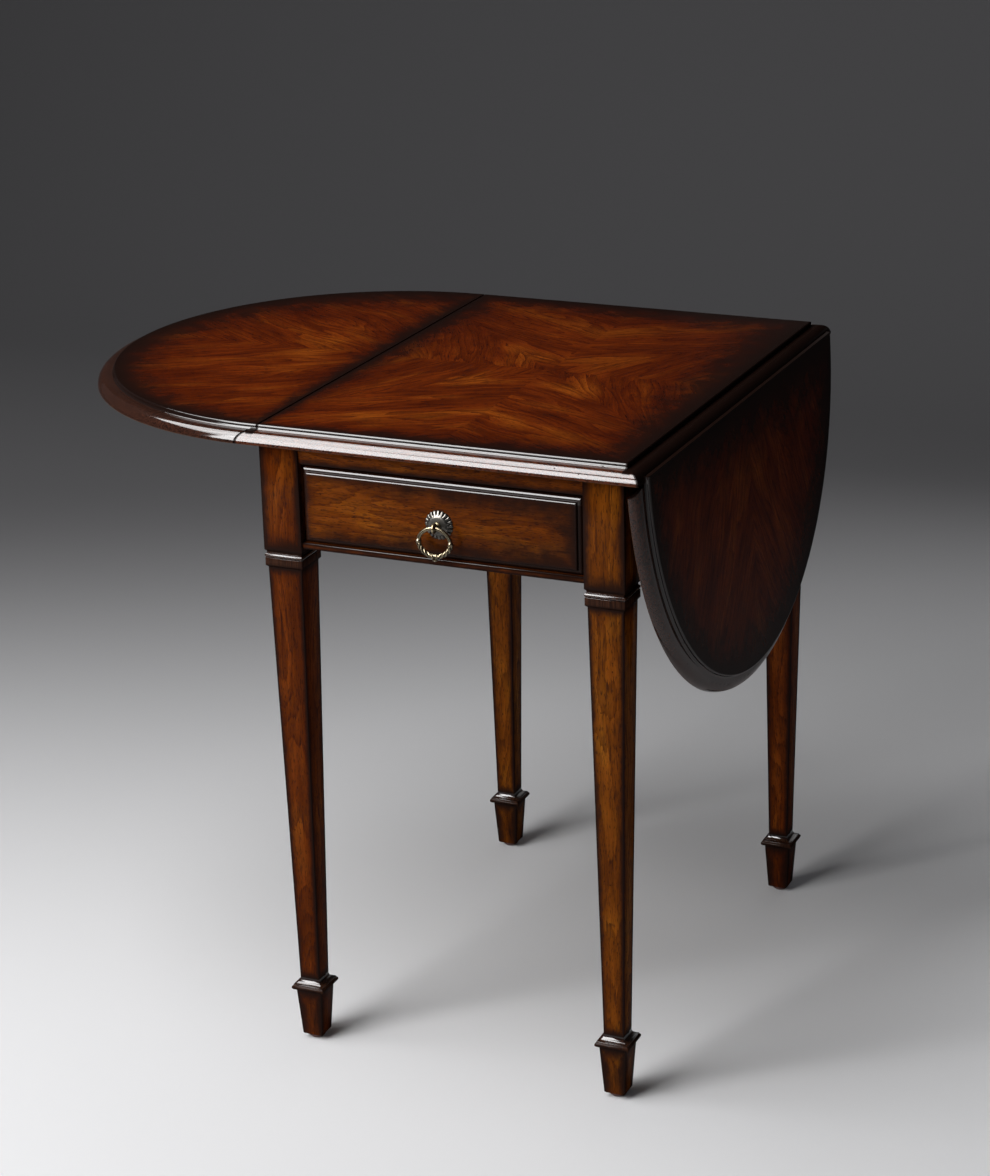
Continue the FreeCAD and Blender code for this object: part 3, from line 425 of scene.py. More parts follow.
class EdgeShade(EffectGroup):
    """Dark burnishing of the stain near an edge, uneven as rubbed by hand."""

    name = "edge_shade"
    inputs = (("Distance", "Float"), ("Width", "Float"), ("Vector", "Vector"))
    outputs = (("Shade", "Float"), ("Stain", "Float"))
    blotch_scale = 38.0
    blotch_share = 1.3
    soft_from = (0.15, 1.1)
    soft_share = 0.88
    close_width = 0.35
    stain_width = 2.6

    def build(self, kit: NodeKit, source: Outputs) -> dict[str, Socket]:
        """Let the shade fade with the distance from the edge, which a noise makes uneven.

        Args:
            kit: takes the nodes.
            source: the group's inputs.

        Returns:
            The dark shade of the edge, and the wider stain round it.
        """
        width = source["Width"]
        blotch = kit.noise(source["Vector"], self.blotch_scale, detail=4.0, roughness=0.6)
        aside = kit.math("SUBTRACT", blotch, 0.5)
        uneven = kit.math("MULTIPLY", aside, kit.math("MULTIPLY", width, self.blotch_share))
        distance = kit.math("ADD", source["Distance"], uneven)
        near, far = (kit.math("MULTIPLY", width, share) for share in self.soft_from)
        soft = kit.math("MULTIPLY_ADD", kit.step(distance, near, far), self.soft_share, 1.0 - self.soft_share)
        close = kit.step(source["Distance"], 0.0, kit.math("MULTIPLY", width, self.close_width))
        wide = kit.step(distance, 0.0, kit.math("MULTIPLY", width, self.stain_width))
        return {"Shade": kit.math("SUBTRACT", 1.0, kit.math("MULTIPLY", soft, close)),
                "Stain": kit.math("SUBTRACT", 1.0, wide)}


@dataclass(frozen=True)
class Scatter:
    """A scatter of round marks: how fine its cells are, how big a mark is, what share of cells is empty."""

    scale: float
    size: float
    empty: float

    def at(self, kit: NodeKit, place: Socket) -> Socket:
        """Draw the marks.

        Args:
            kit: takes the nodes.
            place: place on the piece.

        Returns:
            1 in a mark and 0 elsewhere.
        """
        cells = kit.node("ShaderNodeTexVoronoi", feature="F1")
        kit.feed_named(cells, Vector=place, Scale=self.scale)
        beyond = kit.step(cells.outputs["Distance"], self.size / 2, self.size)
        kept = kit.math("GREATER_THAN", kit.split(cells.outputs["Color"])[0], self.empty)
        return kit.math("MULTIPLY", kit.math("SUBTRACT", 1.0, beyond), kept)


class WearMarks(EffectGroup):
    """Small dark specks and dents, as an antiqued finish has them."""

    name = "wear_marks"
    inputs = (("Vector", "Vector"),)
    outputs = (("Specks", "Float"), ("Dents", "Float"))
    specks = Scatter(150.0, 0.16, 0.86)
    dents = Scatter(42.0, 0.11, 0.80)

    def build(self, kit: NodeKit, source: Outputs) -> dict[str, Socket]:
        """Draw a fine scatter of specks and a coarse one of dents."""
        place = source["Vector"]
        return {"Specks": self.specks.at(kit, place), "Dents": self.dents.at(kit, place)}


class JointLine(EffectGroup):
    """Dark line of a rule joint, where it comes out at the ends of the top."""

    name = "joint_line"
    inputs = (("Across", "Float"), ("Up", "Float"))
    outputs = (("Line", "Float"),)
    fade = (0.0023, 0.0011)

    def build(self, kit: NodeKit, source: Outputs) -> dict[str, Socket]:
        """Draw the joint's section: a short upright, a ledge and a quarter round.

        Args:
            kit: takes the nodes.
            source: the group's inputs, measured from the foot of the joint.

        Returns:
            1 on the line and 0 beside it.
        """
        across = source["Across"]
        up = source["Up"]
        half_ledge = EDGE.ledge_width / 2
        chord = kit.math("SUBTRACT", EDGE.round_radius ** 2, kit.math("MULTIPLY", up, up))
        reach = kit.math("SQRT", kit.math("MAXIMUM", chord, 0.0))
        in_round = kit.math("LESS_THAN", up, EDGE.round_radius)
        curve = kit.math("MULTIPLY", in_round, kit.math("ADD", reach, EDGE.ledge_width))
        from_curve = kit.math("ABSOLUTE", kit.math("SUBTRACT", across, curve))
        from_middle = kit.math("ABSOLUTE", kit.math("SUBTRACT", across, half_ledge))
        past_ledge = kit.math("MAXIMUM", kit.math("SUBTRACT", from_middle, half_ledge), 0.0)
        from_level = kit.math("ABSOLUTE", kit.math("SUBTRACT", up, EDGE.round_radius))
        from_ledge = kit.length(kit.join(past_ledge, from_level, 0.0))
        return {"Line": kit.step(kit.math("MINIMUM", from_curve, from_ledge), *self.fade)}


class Layout:
    """How the grain and the edges lie on a piece, worked out from its place in the frame."""

    polish_fade = 0.0006

    def grain(self, kit: NodeKit, place: Socket) -> Socket:
        """Return the place along, across and through the grain."""
        raise NotImplementedError

    def edge_distance(self, kit: NodeKit, place: Socket) -> Socket:
        """Return how far the place is from the nearest edge that was burnished."""
        raise NotImplementedError

    def place(self, kit: NodeKit) -> Socket:
        """Return the place on the piece, in the frame's metres."""
        return kit.object_place()

    def below(self, kit: NodeKit, place: Socket) -> Socket | None:
        """Return 1 on a side left unpolished and 0 elsewhere, or None where every side is polished."""
        return None

    def joint(self, kit: NodeKit, place: Socket) -> Socket | None:
        """Return 1 at the line of a rule joint and 0 elsewhere, or None where there is no joint."""
        return None

    def border(self, kit: NodeKit, place: Socket, width: float) -> Socket | float:
        """Return the width of the dark border at a place."""
        return width

    def polished(self, kit: NodeKit, place: Socket, distance: Socket, reach: float) -> Socket:
        """Return 1 where the lacquer is polished to a gloss, within a reach of an edge, and 0 elsewhere."""
        return kit.step(distance, reach + self.polish_fade, reach - self.polish_fade)


class VeneeredLayout(Layout):
    """A panel veneered on its upper face in matched wedges, plain below."""

    wedges: float
    slant: float
    below_fade = (0.0006, 0.0001)

    def grain(self, kit: NodeKit, place: Socket) -> Socket:
        """Return the grain of the wedges, which runs slanting outwards in each."""
        slant = math.radians(self.slant)
        return kit.place(Sunburst().tree(), Vector=place, Wedges=self.wedges, Slant=slant).outputs["Grain"]

    def below(self, kit: NodeKit, place: Socket) -> Socket:
        """Return 1 on the plain lower face."""
        low, high = (EDGE.underside + rise for rise in self.below_fade)
        return kit.step(kit.split(place)[2], low, high)

    def joint_line(self, kit: NodeKit, place: Socket, across: Socket) -> Socket:
        """Return the line of a rule joint, from the distance across it."""
        up = kit.math("SUBTRACT", kit.split(place)[2], EDGE.underside)
        return kit.place(JointLine().tree(), Across=across, Up=up).outputs["Line"]


@dataclass(frozen=True)
class TopLayout(VeneeredLayout):
    """The centre top: wedges matched about its middle, dark along its four edges."""

    half_width: float
    half_depth: float
    wedges: float = 8.0
    slant: float = 62.0
    # Painted shade: the dark border widens from the front left to the back right, away from the light.
    border_shares: Pair = (0.3, 2.6)

    def edge_distance(self, kit: NodeKit, place: Socket) -> Socket:
        """Work out the distance inwards from the nearest edge of the field.

        Args:
            kit: takes the nodes.
            place: place on the top.

        Returns:
            The distance.
        """
        x, y = kit.split(place)[:2]
        from_seam = kit.math("SUBTRACT", self.half_width, kit.math("ABSOLUTE", x))
        from_front = kit.math("SUBTRACT", self.half_depth, kit.math("ABSOLUTE", y))
        return kit.math("MINIMUM", from_seam, from_front)

    def joint(self, kit: NodeKit, place: Socket) -> Socket:
        """Return the line of the joints at the two seams."""
        across = kit.math("SUBTRACT", kit.math("ABSOLUTE", kit.split(place)[0]), self.half_width)
        return self.joint_line(kit, place, across)

    def border(self, kit: NodeKit, place: Socket, width: float) -> Socket:
        """Widen the border from the front left corner to the back right one, as painted shade.

        Args:
            kit: takes the nodes.
            place: place on the top.
            width: usual width of the border.

        Returns:
            The width there.
        """
        x, y = kit.split(place)[:2]
        across = kit.math("MULTIPLY_ADD", x, self.half_depth / self.half_width, y)
        ends = (-2.0 * self.half_depth, 2.0 * self.half_depth)
        return kit.span(across, *ends, *(share * width for share in self.border_shares))


@dataclass(frozen=True)
class LeafLayout(VeneeredLayout):
    """A leaf: wedges that fan out from the middle of its joint, dark along its rim and its joint."""

    side: Side
    seam: float
    radius: float
    hinge: Vector
    swing: float
    wedges: float = 4.0
    slant: float = 34.0
    # Painted shade: the right leaf hangs in shade, so its border is wider at its joint and front than the
    # left leaf's.
    joint_share: ClassVar[dict[Side, float]] = {Side.LEFT: 2.2, Side.RIGHT: 0.9}
    front_share: ClassVar[dict[Side, float]] = {Side.LEFT: 0.9, Side.RIGHT: 1.2}
    back_share: ClassVar[float] = 2.5
    border_slant: ClassVar[float] = 0.4
    border_end: ClassVar[float] = 1.1

    def place(self, kit: NodeKit) -> Socket:
        """Measure the place from the middle of the joint, as on a raised leaf.

        Args:
            kit: takes the nodes.

        Returns:
            The place outwards from the seam, along it (to the back on the left leaf, to the front on the
            right one), and up.
        """
        place = super().place(kit)
        if self.side is Side.RIGHT:
            turn = kit.node("ShaderNodeVectorRotate", rotation_type="Y_AXIS")
            place = kit.feed_named(turn, Vector=place, Center=self.hinge, Angle=-self.swing).outputs[0]
        x, y, z = kit.split(place)
        outwards = kit.math("MULTIPLY_ADD", x, float(self.side.value), -self.seam)
        if self.side is Side.RIGHT:
            y = kit.math("MULTIPLY", y, -1.0)
        return kit.join(outwards, y, z)

    def edge_distance(self, kit: NodeKit, place: Socket) -> Socket:
        """Work out the distance inwards from the rim or outwards from the joint.

        Args:
            kit: takes the nodes.
            place: place on the leaf.

        Returns:
            The lesser of the two.
        """
        x, y = kit.split(place)[:2]
        past_straight = kit.math("MAXIMUM", kit.math("SUBTRACT", x, EDGE.leaf_straight), 0.0)
        from_rim = kit.math("SUBTRACT", self.radius, kit.length(kit.join(past_straight, y, 0.0)))
        return kit.math("MINIMUM", from_rim, kit.math("MULTIPLY", x, self.joint_share[self.side]))

    def joint(self, kit: NodeKit, place: Socket) -> Socket:
        """Return the line of the joint with the centre top."""
        return self.joint_line(kit, place, kit.split(place)[0])

    def border(self, kit: NodeKit, place: Socket, width: float) -> Socket:
        """Widen the border from the front of the table to the back, as painted shade.

        Args:
            kit: takes the nodes.
            place: place on the leaf.
            width: usual width of the border.

        Returns:
            The width there.
        """
        x, y = kit.split(place)[:2]
        along = kit.math("MULTIPLY_ADD", x, self.border_slant, y)
        backwards = kit.math("MULTIPLY", along, -float(self.side.value))
        return kit.span(backwards, -self.radius, self.border_end * self.radius,
                        self.front_share[self.side] * width, self.back_share * width)


@dataclass(frozen=True)
class LegLayout(Layout):
    """A leg: upright grain, dark along its four corners, which follow its taper, and at its two collars."""

    centre: Vector
    lift: ClassVar[Pair] = (7.0, 3.0)
    spade_share: ClassVar[float] = 0.8
    collar_share: ClassVar[float] = 0.55
    shaft_border: ClassVar[float] = 0.6
    bead_fade: ClassVar[Pair] = (0.0006, -0.0002)

    def place(self, kit: NodeKit) -> Socket:
        """Return the place from the leg's own middle line."""
        return kit.vector_math("SUBTRACT", super().place(kit), (self.centre.x, self.centre.y, 0.0))

    def grain(self, kit: NodeKit, place: Socket) -> Socket:
        """Stand the grain upright, and make it different in each leg.

        Args:
            kit: takes the nodes.
            place: place on the leg.

        Returns:
            The place along, across and through the grain.
        """
        x, y, z = kit.split(place)
        lift = self.lift[0] * self.centre.x + self.lift[1] * self.centre.y
        return kit.join(kit.math("ADD", z, lift), x, kit.math("ADD", y, lift))

    def half_width(self, kit: NodeKit, z: Socket) -> Socket:
        """Work out the half width of the leg at a height.

        Args:
            kit: takes the nodes.
            z: the height.

        Returns:
            The half width of its spade, shaft or block.
        """
        spade = kit.span(z, 0.0, LEG.spade_top, LEG.spade_foot_half, LEG.spade_top_half)
        shaft = kit.span(z, LEG.shaft_foot, LEG.shaft_top, LEG.shaft_foot_half, LEG.shaft_top_half)
        on_shaft = kit.math("GREATER_THAN", z, LEG.shaft_foot)
        on_block = kit.math("GREATER_THAN", z, LEG.block_bottom)
        half = kit.math("MULTIPLY_ADD", on_shaft, kit.math("SUBTRACT", shaft, spade), spade)
        return kit.math("MULTIPLY_ADD", on_block, kit.math("SUBTRACT", LEG.block_half, half), half)

    def from_band(self, kit: NodeKit, z: Socket, bottom: float, top: float) -> Socket:
        """Return how far a height is outside a band of the leg."""
        from_middle = kit.math("ABSOLUTE", kit.math("SUBTRACT", z, (top + bottom) / 2))
        return kit.math("SUBTRACT", from_middle, (top - bottom) / 2)

    def edge_distance(self, kit: NodeKit, place: Socket) -> Socket:
        """Work out the distance from the nearest corner of the leg at that height, or from a collar.

        Args:
            kit: takes the nodes.
            place: place on the leg.

        Returns:
            The distance.
        """
        x, y, z = kit.split(place)
        half = self.half_width(kit, z)
        from_x = kit.math("SUBTRACT", half, kit.math("ABSOLUTE", x))
        from_y = kit.math("SUBTRACT", half, kit.math("ABSOLUTE", y))
        on_shaft = kit.math("GREATER_THAN", z, LEG.shaft_foot)
        share = kit.math("MULTIPLY_ADD", on_shaft, 1.0 - self.spade_share, self.spade_share)
        sides = kit.math("MULTIPLY", kit.math("MAXIMUM", from_x, from_y), share)
        upper = self.from_band(kit, z, LEG.shaft_top, LEG.block_bottom)
        lower = self.from_band(kit, z, LEG.spade_top, LEG.shaft_foot)
        ends = kit.math("MULTIPLY", kit.math("MINIMUM", upper, lower), self.collar_share)
        return kit.math("MINIMUM", sides, ends)

    def border(self, kit: NodeKit, place: Socket, width: float) -> Socket:
        """Narrow the border on the shaft.

        Args:
            kit: takes the nodes.
            place: place on the leg.
            width: width of the border on the block and the spade.

        Returns:
            The width there.
        """
        beyond = self.from_band(kit, kit.split(place)[2], LEG.shaft_foot, LEG.shaft_top)
        on_shaft = kit.math("LESS_THAN", beyond, 0.0)
        return kit.math("MULTIPLY_ADD", on_shaft, (self.shaft_border - 1.0) * width, width)

    def polished(self, kit: NodeKit, place: Socket, distance: Socket, reach: float) -> Socket:
        """Polish the bead of the upper collar and the cove of the lower one.

        Args:
            kit: takes the nodes.
            place: place on the leg.
            distance: distance from the nearest edge, which doesn't matter here.
            reach: reach of the polish from an edge, which doesn't matter here.

        Returns:
            1 on the bead and in the cove, and 0 elsewhere.
        """
        z = kit.split(place)[2]
        bands = []
        for middle, height in ((LEG.bead, LEG.bead_height), (LEG.cove, LEG.cove_height)):
            beyond = self.from_band(kit, z, middle - height / 2, middle + height / 2)
            bands.append(kit.step(beyond, *self.bead_fade))
        return kit.math("MAXIMUM", *bands)


@dataclass(frozen=True)
class BoardLayout(Layout):
    """A straight board: grain along one axis, dark along its edges."""

    low: Vector
    high: Vector
    axis: Axis
    skew: float = 0.0
    dulled_share: ClassVar[float] = 0.15
    dulled_fade: ClassVar[float] = 0.0030

    def grain(self, kit: NodeKit, place: Socket) -> Socket:
        """Return the place with the axis of the grain first."""
        parts = kit.split(place)
        return kit.join(*[parts[(self.axis.value + number) % 3] for number in range(3)])

    def edge_distance(self, kit: NodeKit, place: Socket) -> Socket:
        """Find the middle one of the distances to the board's three pairs of faces.

        Args:
            kit: takes the nodes.
            place: place on the board.

        Returns:
            The distance from the nearest edge.
        """
        middle = (self.low + self.high) / 2
        half = (self.high - self.low) / 2
        offset = kit.vector_math("ABSOLUTE", kit.vector_math("SUBTRACT", place, middle))
        x, y, z = kit.split(kit.vector_math("SUBTRACT", half, offset))
        lesser = kit.math("MINIMUM", x, y)
        greater = kit.math("MAXIMUM", x, y)
        return kit.math("MAXIMUM", lesser, kit.math("MINIMUM", greater, z))

    def polished(self, kit: NodeKit, place: Socket, distance: Socket, reach: float) -> Socket:
        """Polish the upper edge, and leave the others as wear has dulled them.

        Args:
            kit: takes the nodes.
            place: place on the board.
            distance: distance from the nearest edge.
            reach: reach of the polish from an edge.

        Returns:
            1 along the upper edge, less along the others, and 0 elsewhere.
        """
        from_top = kit.math("SUBTRACT", self.high.z, kit.split(place)[2])
        kept = kit.step(from_top, reach + self.dulled_fade, reach)
        share = kit.math("MULTIPLY_ADD", kept, 1.0 - self.dulled_share, self.dulled_share)
        return kit.math("MULTIPLY", super().polished(kit, place, distance, reach), share)

    def border(self, kit: NodeKit, place: Socket, width: float) -> Socket | float:
        """Widen the border towards the right end where the board has a skew.

        Args:
            kit: takes the nodes.
            place: place on the board.
            width: width of the border in the board's middle.

        Returns:
            The width there.
        """
        if self.skew == 0.0:
            return width
        ends = (width * (1.0 - self.skew), width * (1.0 + self.skew))
        return kit.span(kit.split(place)[0], self.low.x, self.high.x, *ends)


def new_material(name: str) -> tuple[bpy.types.Material, NodeKit, bpy.types.Node]:
    """Start a material.

    Args:
        name: name of the material.

    Returns:
        The material, a kit for its nodes, and its shader.
    """
    material = bpy.data.materials.new(name)
    material.use_nodes = True
    return material, NodeKit(material.node_tree), material.node_tree.nodes["Principled BSDF"]


@dataclass(frozen=True)
class WoodMasks:
    """What the grain, the edges and the wear of one piece say at each place."""

    wood: Outputs
    wear: Outputs
    edges: Outputs
    distance: Socket
    polished: Socket
    below: Socket | None
    joint: Socket | None


@dataclass(frozen=True)
class WoodFinish:
    """A stained and lacquered wood.

    The class values say how strongly each feature of the wood shows, the same in every finish.
    """

    dark: Color
    body: Color
    light: Color
    edge: Color
    rim: Color
    plain: Color
    edge_width: float
    roughness: float
    coat: float
    curl: float = 0.03
    pore: float = 0.5
    polish_reach: float = 0.0
    gloss: float = 0.7
    coat_roughness: float = 0.10
    body_from: ClassVar[Pair] = (0.16, 0.58)
    light_from: ClassVar[Pair] = (0.48, 0.80)
    light_share: ClassVar[float] = 0.8
    stain_share: ClassVar[float] = 0.72
    line_share: ClassVar[float] = 0.75
    fibre_tone: ClassVar[Span] = (0.25, 0.75, 0.74, 1.24)
    streak_tone: ClassVar[Span] = (0.3, 0.7, 0.78, 1.20)
    rim_fibre: ClassVar[Pair] = (0.3, 0.7)
    rim_from: ClassVar[Pair] = (-0.0008, -0.0025)
    speck_share: ClassVar[float] = 0.8
    joint_dulling: ClassVar[float] = 0.9
    rough_fibre: ClassVar[Pair] = (0.2, 0.8)
    rough_spread: ClassVar[Pair] = (-0.05, 0.07)
    fibre_relief: ClassVar[float] = 0.25
    pore_relief: ClassVar[float] = -0.5
    dent_relief: ClassVar[float] = -0.8
    relief_strength: ClassVar[float] = 0.18
    relief_distance: ClassVar[float] = 0.0006
    lacquer_ior: ClassVar[float] = 1.5

    def masks(self, kit: NodeKit, layout: Layout) -> WoodMasks:
        """Place the effect groups on a piece.

        Args:
            kit: takes the nodes.
            layout: how the grain and the edges lie on the piece.

        Returns:
            What the groups and the layout say at each place.
        """
        place = layout.place(kit)
        grain = layout.grain(kit, place)
        distance = layout.edge_distance(kit, place)
        border = layout.border(kit, place, self.edge_width)
        return WoodMasks(
            wood=kit.place(WoodFigure().tree(), Grain=grain, Curl=self.curl).outputs,
            wear=kit.place(WearMarks().tree(), Vector=place).outputs,
            edges=kit.place(EdgeShade().tree(), Distance=distance, Vector=place, Width=border).outputs,
            distance=distance,
            polished=layout.polished(kit, place, distance, self.polish_reach),
            below=layout.below(kit, place),
            joint=layout.joint(kit, place))

    def tone(self, kit: NodeKit, masks: WoodMasks) -> Socket:
        """Lay the stain, the figure, the pores and the dark edges over each other.

        Args:
            kit: takes the nodes.
            masks: where each of them shows.

        Returns:
            The colour of the wood.
        """
        wood = masks.wood
        tone = kit.mix(kit.step(wood["Figure"], *self.body_from), self.dark, self.body)
        light = kit.math("MULTIPLY", kit.step(wood["Figure"], *self.light_from), self.light_share)
        tone = kit.mix(light, tone, self.light)
        tone = kit.mix(kit.math("MULTIPLY", masks.edges["Stain"], self.stain_share), tone, self.dark)
        tone = kit.mix(kit.math("MULTIPLY", wood["Lines"], self.line_share), tone, self.dark)
        fibre = kit.span(wood["Fibre"], *self.fibre_tone)
        streak = kit.math("MULTIPLY", fibre, kit.span(wood["Streaks"], *self.streak_tone))
        tone = kit.mix(1.0, tone, kit.join(streak, streak, streak), "MULTIPLY")
        tone = kit.mix(kit.math("MULTIPLY", wood["Pores"], self.pore), tone, self.edge)
        tone = kit.mix(masks.edges["Shade"], tone, self.edge)
        rim = kit.mix(kit.step(wood["Fibre"], *self.rim_fibre), self.edge, self.rim)
        tone = kit.mix(kit.step(masks.distance, *self.rim_from), tone, rim)
        tone = kit.mix(kit.math("MULTIPLY", masks.wear["Specks"], self.speck_share), tone, self.edge)
        if masks.below is not None:
            tone = kit.mix(masks.below, tone, kit.mix(wood["Fibre"], self.edge, self.plain))
        if masks.joint is not None:
            tone = kit.mix(masks.joint, tone, self.edge)
        return tone

    def polish(self, kit: NodeKit, masks: WoodMasks) -> Socket:
        """Spread the lacquer, glossy where it is polished and none where the wood is bare.

        Args:
            kit: takes the nodes.
            masks: where it is polished, worn or left off.

        Returns:
            The weight of the coat.
        """
        polish = kit.math("MULTIPLY_ADD", masks.polished, self.gloss - self.coat, self.coat)
        polish = kit.math("MULTIPLY", polish, kit.math("SUBTRACT", 1.0, masks.wear["Specks"]))
        if masks.below is not None:
            polish = kit.math("MULTIPLY", polish, kit.math("SUBTRACT", 1.0, masks.below))
        if masks.joint is not None:
            dulled = kit.math("MULTIPLY_ADD", masks.joint, -self.joint_dulling, 1.0)
            polish = kit.math("MULTIPLY", polish, dulled)
        return polish

    def relief(self, kit: NodeKit, masks: WoodMasks) -> Socket:
        """Raise the fibres and sink the pores outside the polish, and sink the dents everywhere.

        Args:
            kit: takes the nodes.
            masks: where each of them is.

        Returns:
            The height of the surface.
        """
        pores = kit.math("MULTIPLY", masks.wood["Pores"], self.pore_relief)
        grain = kit.math("MULTIPLY_ADD", masks.wood["Fibre"], self.fibre_relief, pores)
        field = kit.math("MULTIPLY", grain, kit.math("SUBTRACT", 1.0, masks.polished))
        return kit.math("MULTIPLY_ADD", masks.wear["Dents"], self.dent_relief, field)

    def material(self, name: str, layout: Layout) -> bpy.types.Material:
        """Make the material of one piece.

        Args:
            name: name of the material.
            layout: how the grain and the edges lie on the piece.

        Returns:
            The new material.
        """
        material, kit, shader = new_material(name)
        masks = self.masks(kit, layout)
        spread = (self.roughness + change for change in self.rough_spread)
        kit.feed(shader.inputs["Base Color"], self.tone(kit, masks))
        kit.feed(shader.inputs["Coat Weight"], self.polish(kit, masks))
        kit.feed(shader.inputs["Roughness"], kit.span(masks.wood["Fibre"], *self.rough_fibre, *spread))
        normal = kit.bump(self.relief(kit, masks), self.relief_strength, self.relief_distance)
        kit.feed(shader.inputs["Normal"], normal)
        shader.inputs["IOR"].default_value = self.lacquer_ior
        shader.inputs["Specular IOR Level"].default_value = 0.0
        shader.inputs["Coat Roughness"].default_value = self.coat_roughness
        return material


@dataclass(frozen=True)
class MetalFinish:
    """An antiqued metal: bright where it is rubbed, dark where it isn't."""

    bright: Color
    dark: Color
    roughness: float
    patina_scale: float
    fine_scale: ClassVar[float] = 7.0
    rubbed_from: ClassVar[Pair] = (0.28, 0.66)
    least_rubbed: ClassVar[float] = 0.5
    dull_roughness: ClassVar[float] = 0.22
    fine_roughness: ClassVar[float] = 0.08
    relief_strength: ClassVar[float] = 0.12
    relief_distance: ClassVar[float] = 0.0003

    def material(self, name: str, mask: Callable[[NodeKit], Socket] | None = None) -> bpy.types.Material:
        """Make the material.

        Args:
            name: name of the material.
            mask: from 0, darkened by patina and painted shade, to 1, rubbed bright; None for patina alone.

        Returns:
            The new material.
        """
        material, kit, shader = new_material(name)
        place = kit.object_place()
        fine = kit.noise(place, self.patina_scale * self.fine_scale, detail=2.0, roughness=0.6)
        coarse = kit.noise(place, self.patina_scale, detail=4.0, roughness=0.6)
        rubbed = kit.step(coarse, *self.rubbed_from)
        if mask is not None:
            patina = kit.math("MULTIPLY_ADD", rubbed, 1.0 - self.least_rubbed, self.least_rubbed)
            rubbed = kit.math("MULTIPLY", mask(kit), patina)
        dull = kit.math("SUBTRACT", 1.0, rubbed)
        rough = kit.math("MULTIPLY_ADD", dull, self.dull_roughness, self.roughness)
        kit.feed(shader.inputs["Base Color"], kit.mix(rubbed, self.dark, self.bright))
        kit.feed(shader.inputs["Roughness"], kit.math("MULTIPLY_ADD", fine, self.fine_roughness, rough))
        kit.feed(shader.inputs["Normal"], kit.bump(fine, self.relief_strength, self.relief_distance))
        shader.inputs["Metallic"].default_value = 1.0
        return material


VENEER = WoodFinish(
    dark=(0.040, 0.0048, 0.0010), body=(0.118, 0.0180, 0.0020), light=(0.240, 0.058, 0.0050),
    edge=(0.0085, 0.0038, 0.0028), rim=(0.085, 0.0225, 0.0095), plain=(0.105, 0.052, 0.026),
    edge_width=0.037, roughness=0.36, coat=0.15, curl=0.05, pore=0.6, polish_reach=0.0015)
# The leaves' rims take a darker colour than the centre top's rim, as painted shade.
SHADED_LEAF_VENEER = replace(VENEER, rim=(0.040, 0.0140, 0.0080))
LEG_WOOD = WoodFinish(
    dark=(0.056, 0.0130, 0.0015), body=(0.148, 0.039, 0.0033), light=(0.265, 0.096, 0.0090),
    edge=(0.0105, 0.0046, 0.0032), rim=(0.038, 0.0150, 0.0080), plain=(0.105, 0.052, 0.026),
    edge_width=0.0090, roughness=0.42, coat=0.06, gloss=0.75, curl=0.012, pore=0.7)
# The redder, darker wood is the front left leg's own tone, and painted shade on the back right leg.
RED_AND_SHADED_LEG_WOOD = replace(
    LEG_WOOD, dark=(0.040, 0.0070, 0.0012), body=(0.110, 0.0222, 0.0025), light=(0.198, 0.056, 0.0066))
CASE_WOOD = WoodFinish(
    dark=(0.052, 0.0100, 0.0013), body=(0.142, 0.034, 0.0030), light=(0.270, 0.092, 0.0090),
    edge=(0.0095, 0.0042, 0.0030), rim=(0.026, 0.0110, 0.0065), plain=(0.105, 0.052, 0.026),
    edge_width=0.028, roughness=0.40, coat=0.05, gloss=0.65, curl=0.04, pore=0.7, polish_reach=0.0076)
RAIL_WOOD = replace(CASE_WOOD, edge_width=0.0065, gloss=0.35, polish_reach=0.0009)
INNER_WOOD = WoodFinish(
    dark=(0.300, 0.185, 0.090), body=(0.430, 0.290, 0.155), light=(0.520, 0.370, 0.215),
    edge=(0.200, 0.120, 0.060), rim=(0.200, 0.120, 0.060), plain=(0.430, 0.290, 0.155),
    edge_width=0.002, roughness=0.62, coat=0.0, polish_reach=-1.0, curl=0.02)
RING_BRASS = MetalFinish(
    bright=(0.215, 0.178, 0.118), dark=(0.016, 0.012, 0.008), roughness=0.17, patina_scale=210.0)
EYE_BRASS = MetalFinish(
    bright=(0.300, 0.240, 0.145), dark=(0.080, 0.060, 0.035), roughness=0.17, patina_scale=260.0)
ROSETTE_PEWTER = MetalFinish(
    bright=(0.125, 0.117, 0.105), dark=(0.014, 0.013, 0.011), roughness=0.20, patina_scale=240.0)
HINGE_BRASS = MetalFinish(
    bright=(0.55, 0.39, 0.17), dark=(0.20, 0.12, 0.05), roughness=0.34, patina_scale=120.0)
STAY_STEEL = MetalFinish(
    bright=(0.36, 0.32, 0.27), dark=(0.10, 0.085, 0.07), roughness=0.36, patina_scale=90.0)
SCREW_STEEL = MetalFinish(
    bright=(0.52, 0.50, 0.47), dark=(0.16, 0.14, 0.12), roughness=0.32, patina_scale=160.0)


def dress(node: str, material: bpy.types.Material) -> None:
    """Give a solid its material.

    Args:
        node: name of the solid.
        material: its only material.
    """
    target = frame["nodes"][node]
    target.data.materials.clear()
    target.data.materials.append(material)
    LOG.info("dressed %s with %s", node, material.name)


def dress_boards(boards: Mapping[str, Axis], finish: WoodFinish) -> None:
    """Give straight boards a finish, each with the grain along its own axis."""
    for node, axis in boards.items():
        dress(node, finish.material(node + "_wood", BoardLayout(*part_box(node), axis)))


def body_of(node: str) -> str:
    """Return the name of the body that carries a solid."""
    return frame["nodes"][node]["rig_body"]


def close_ends(mesh: Mesh) -> None:
    """Fill the open ends of a mesh."""
    bmesh.ops.holes_fill(mesh, edges=[edge for edge in mesh.edges if edge.is_boundary], sides=0)


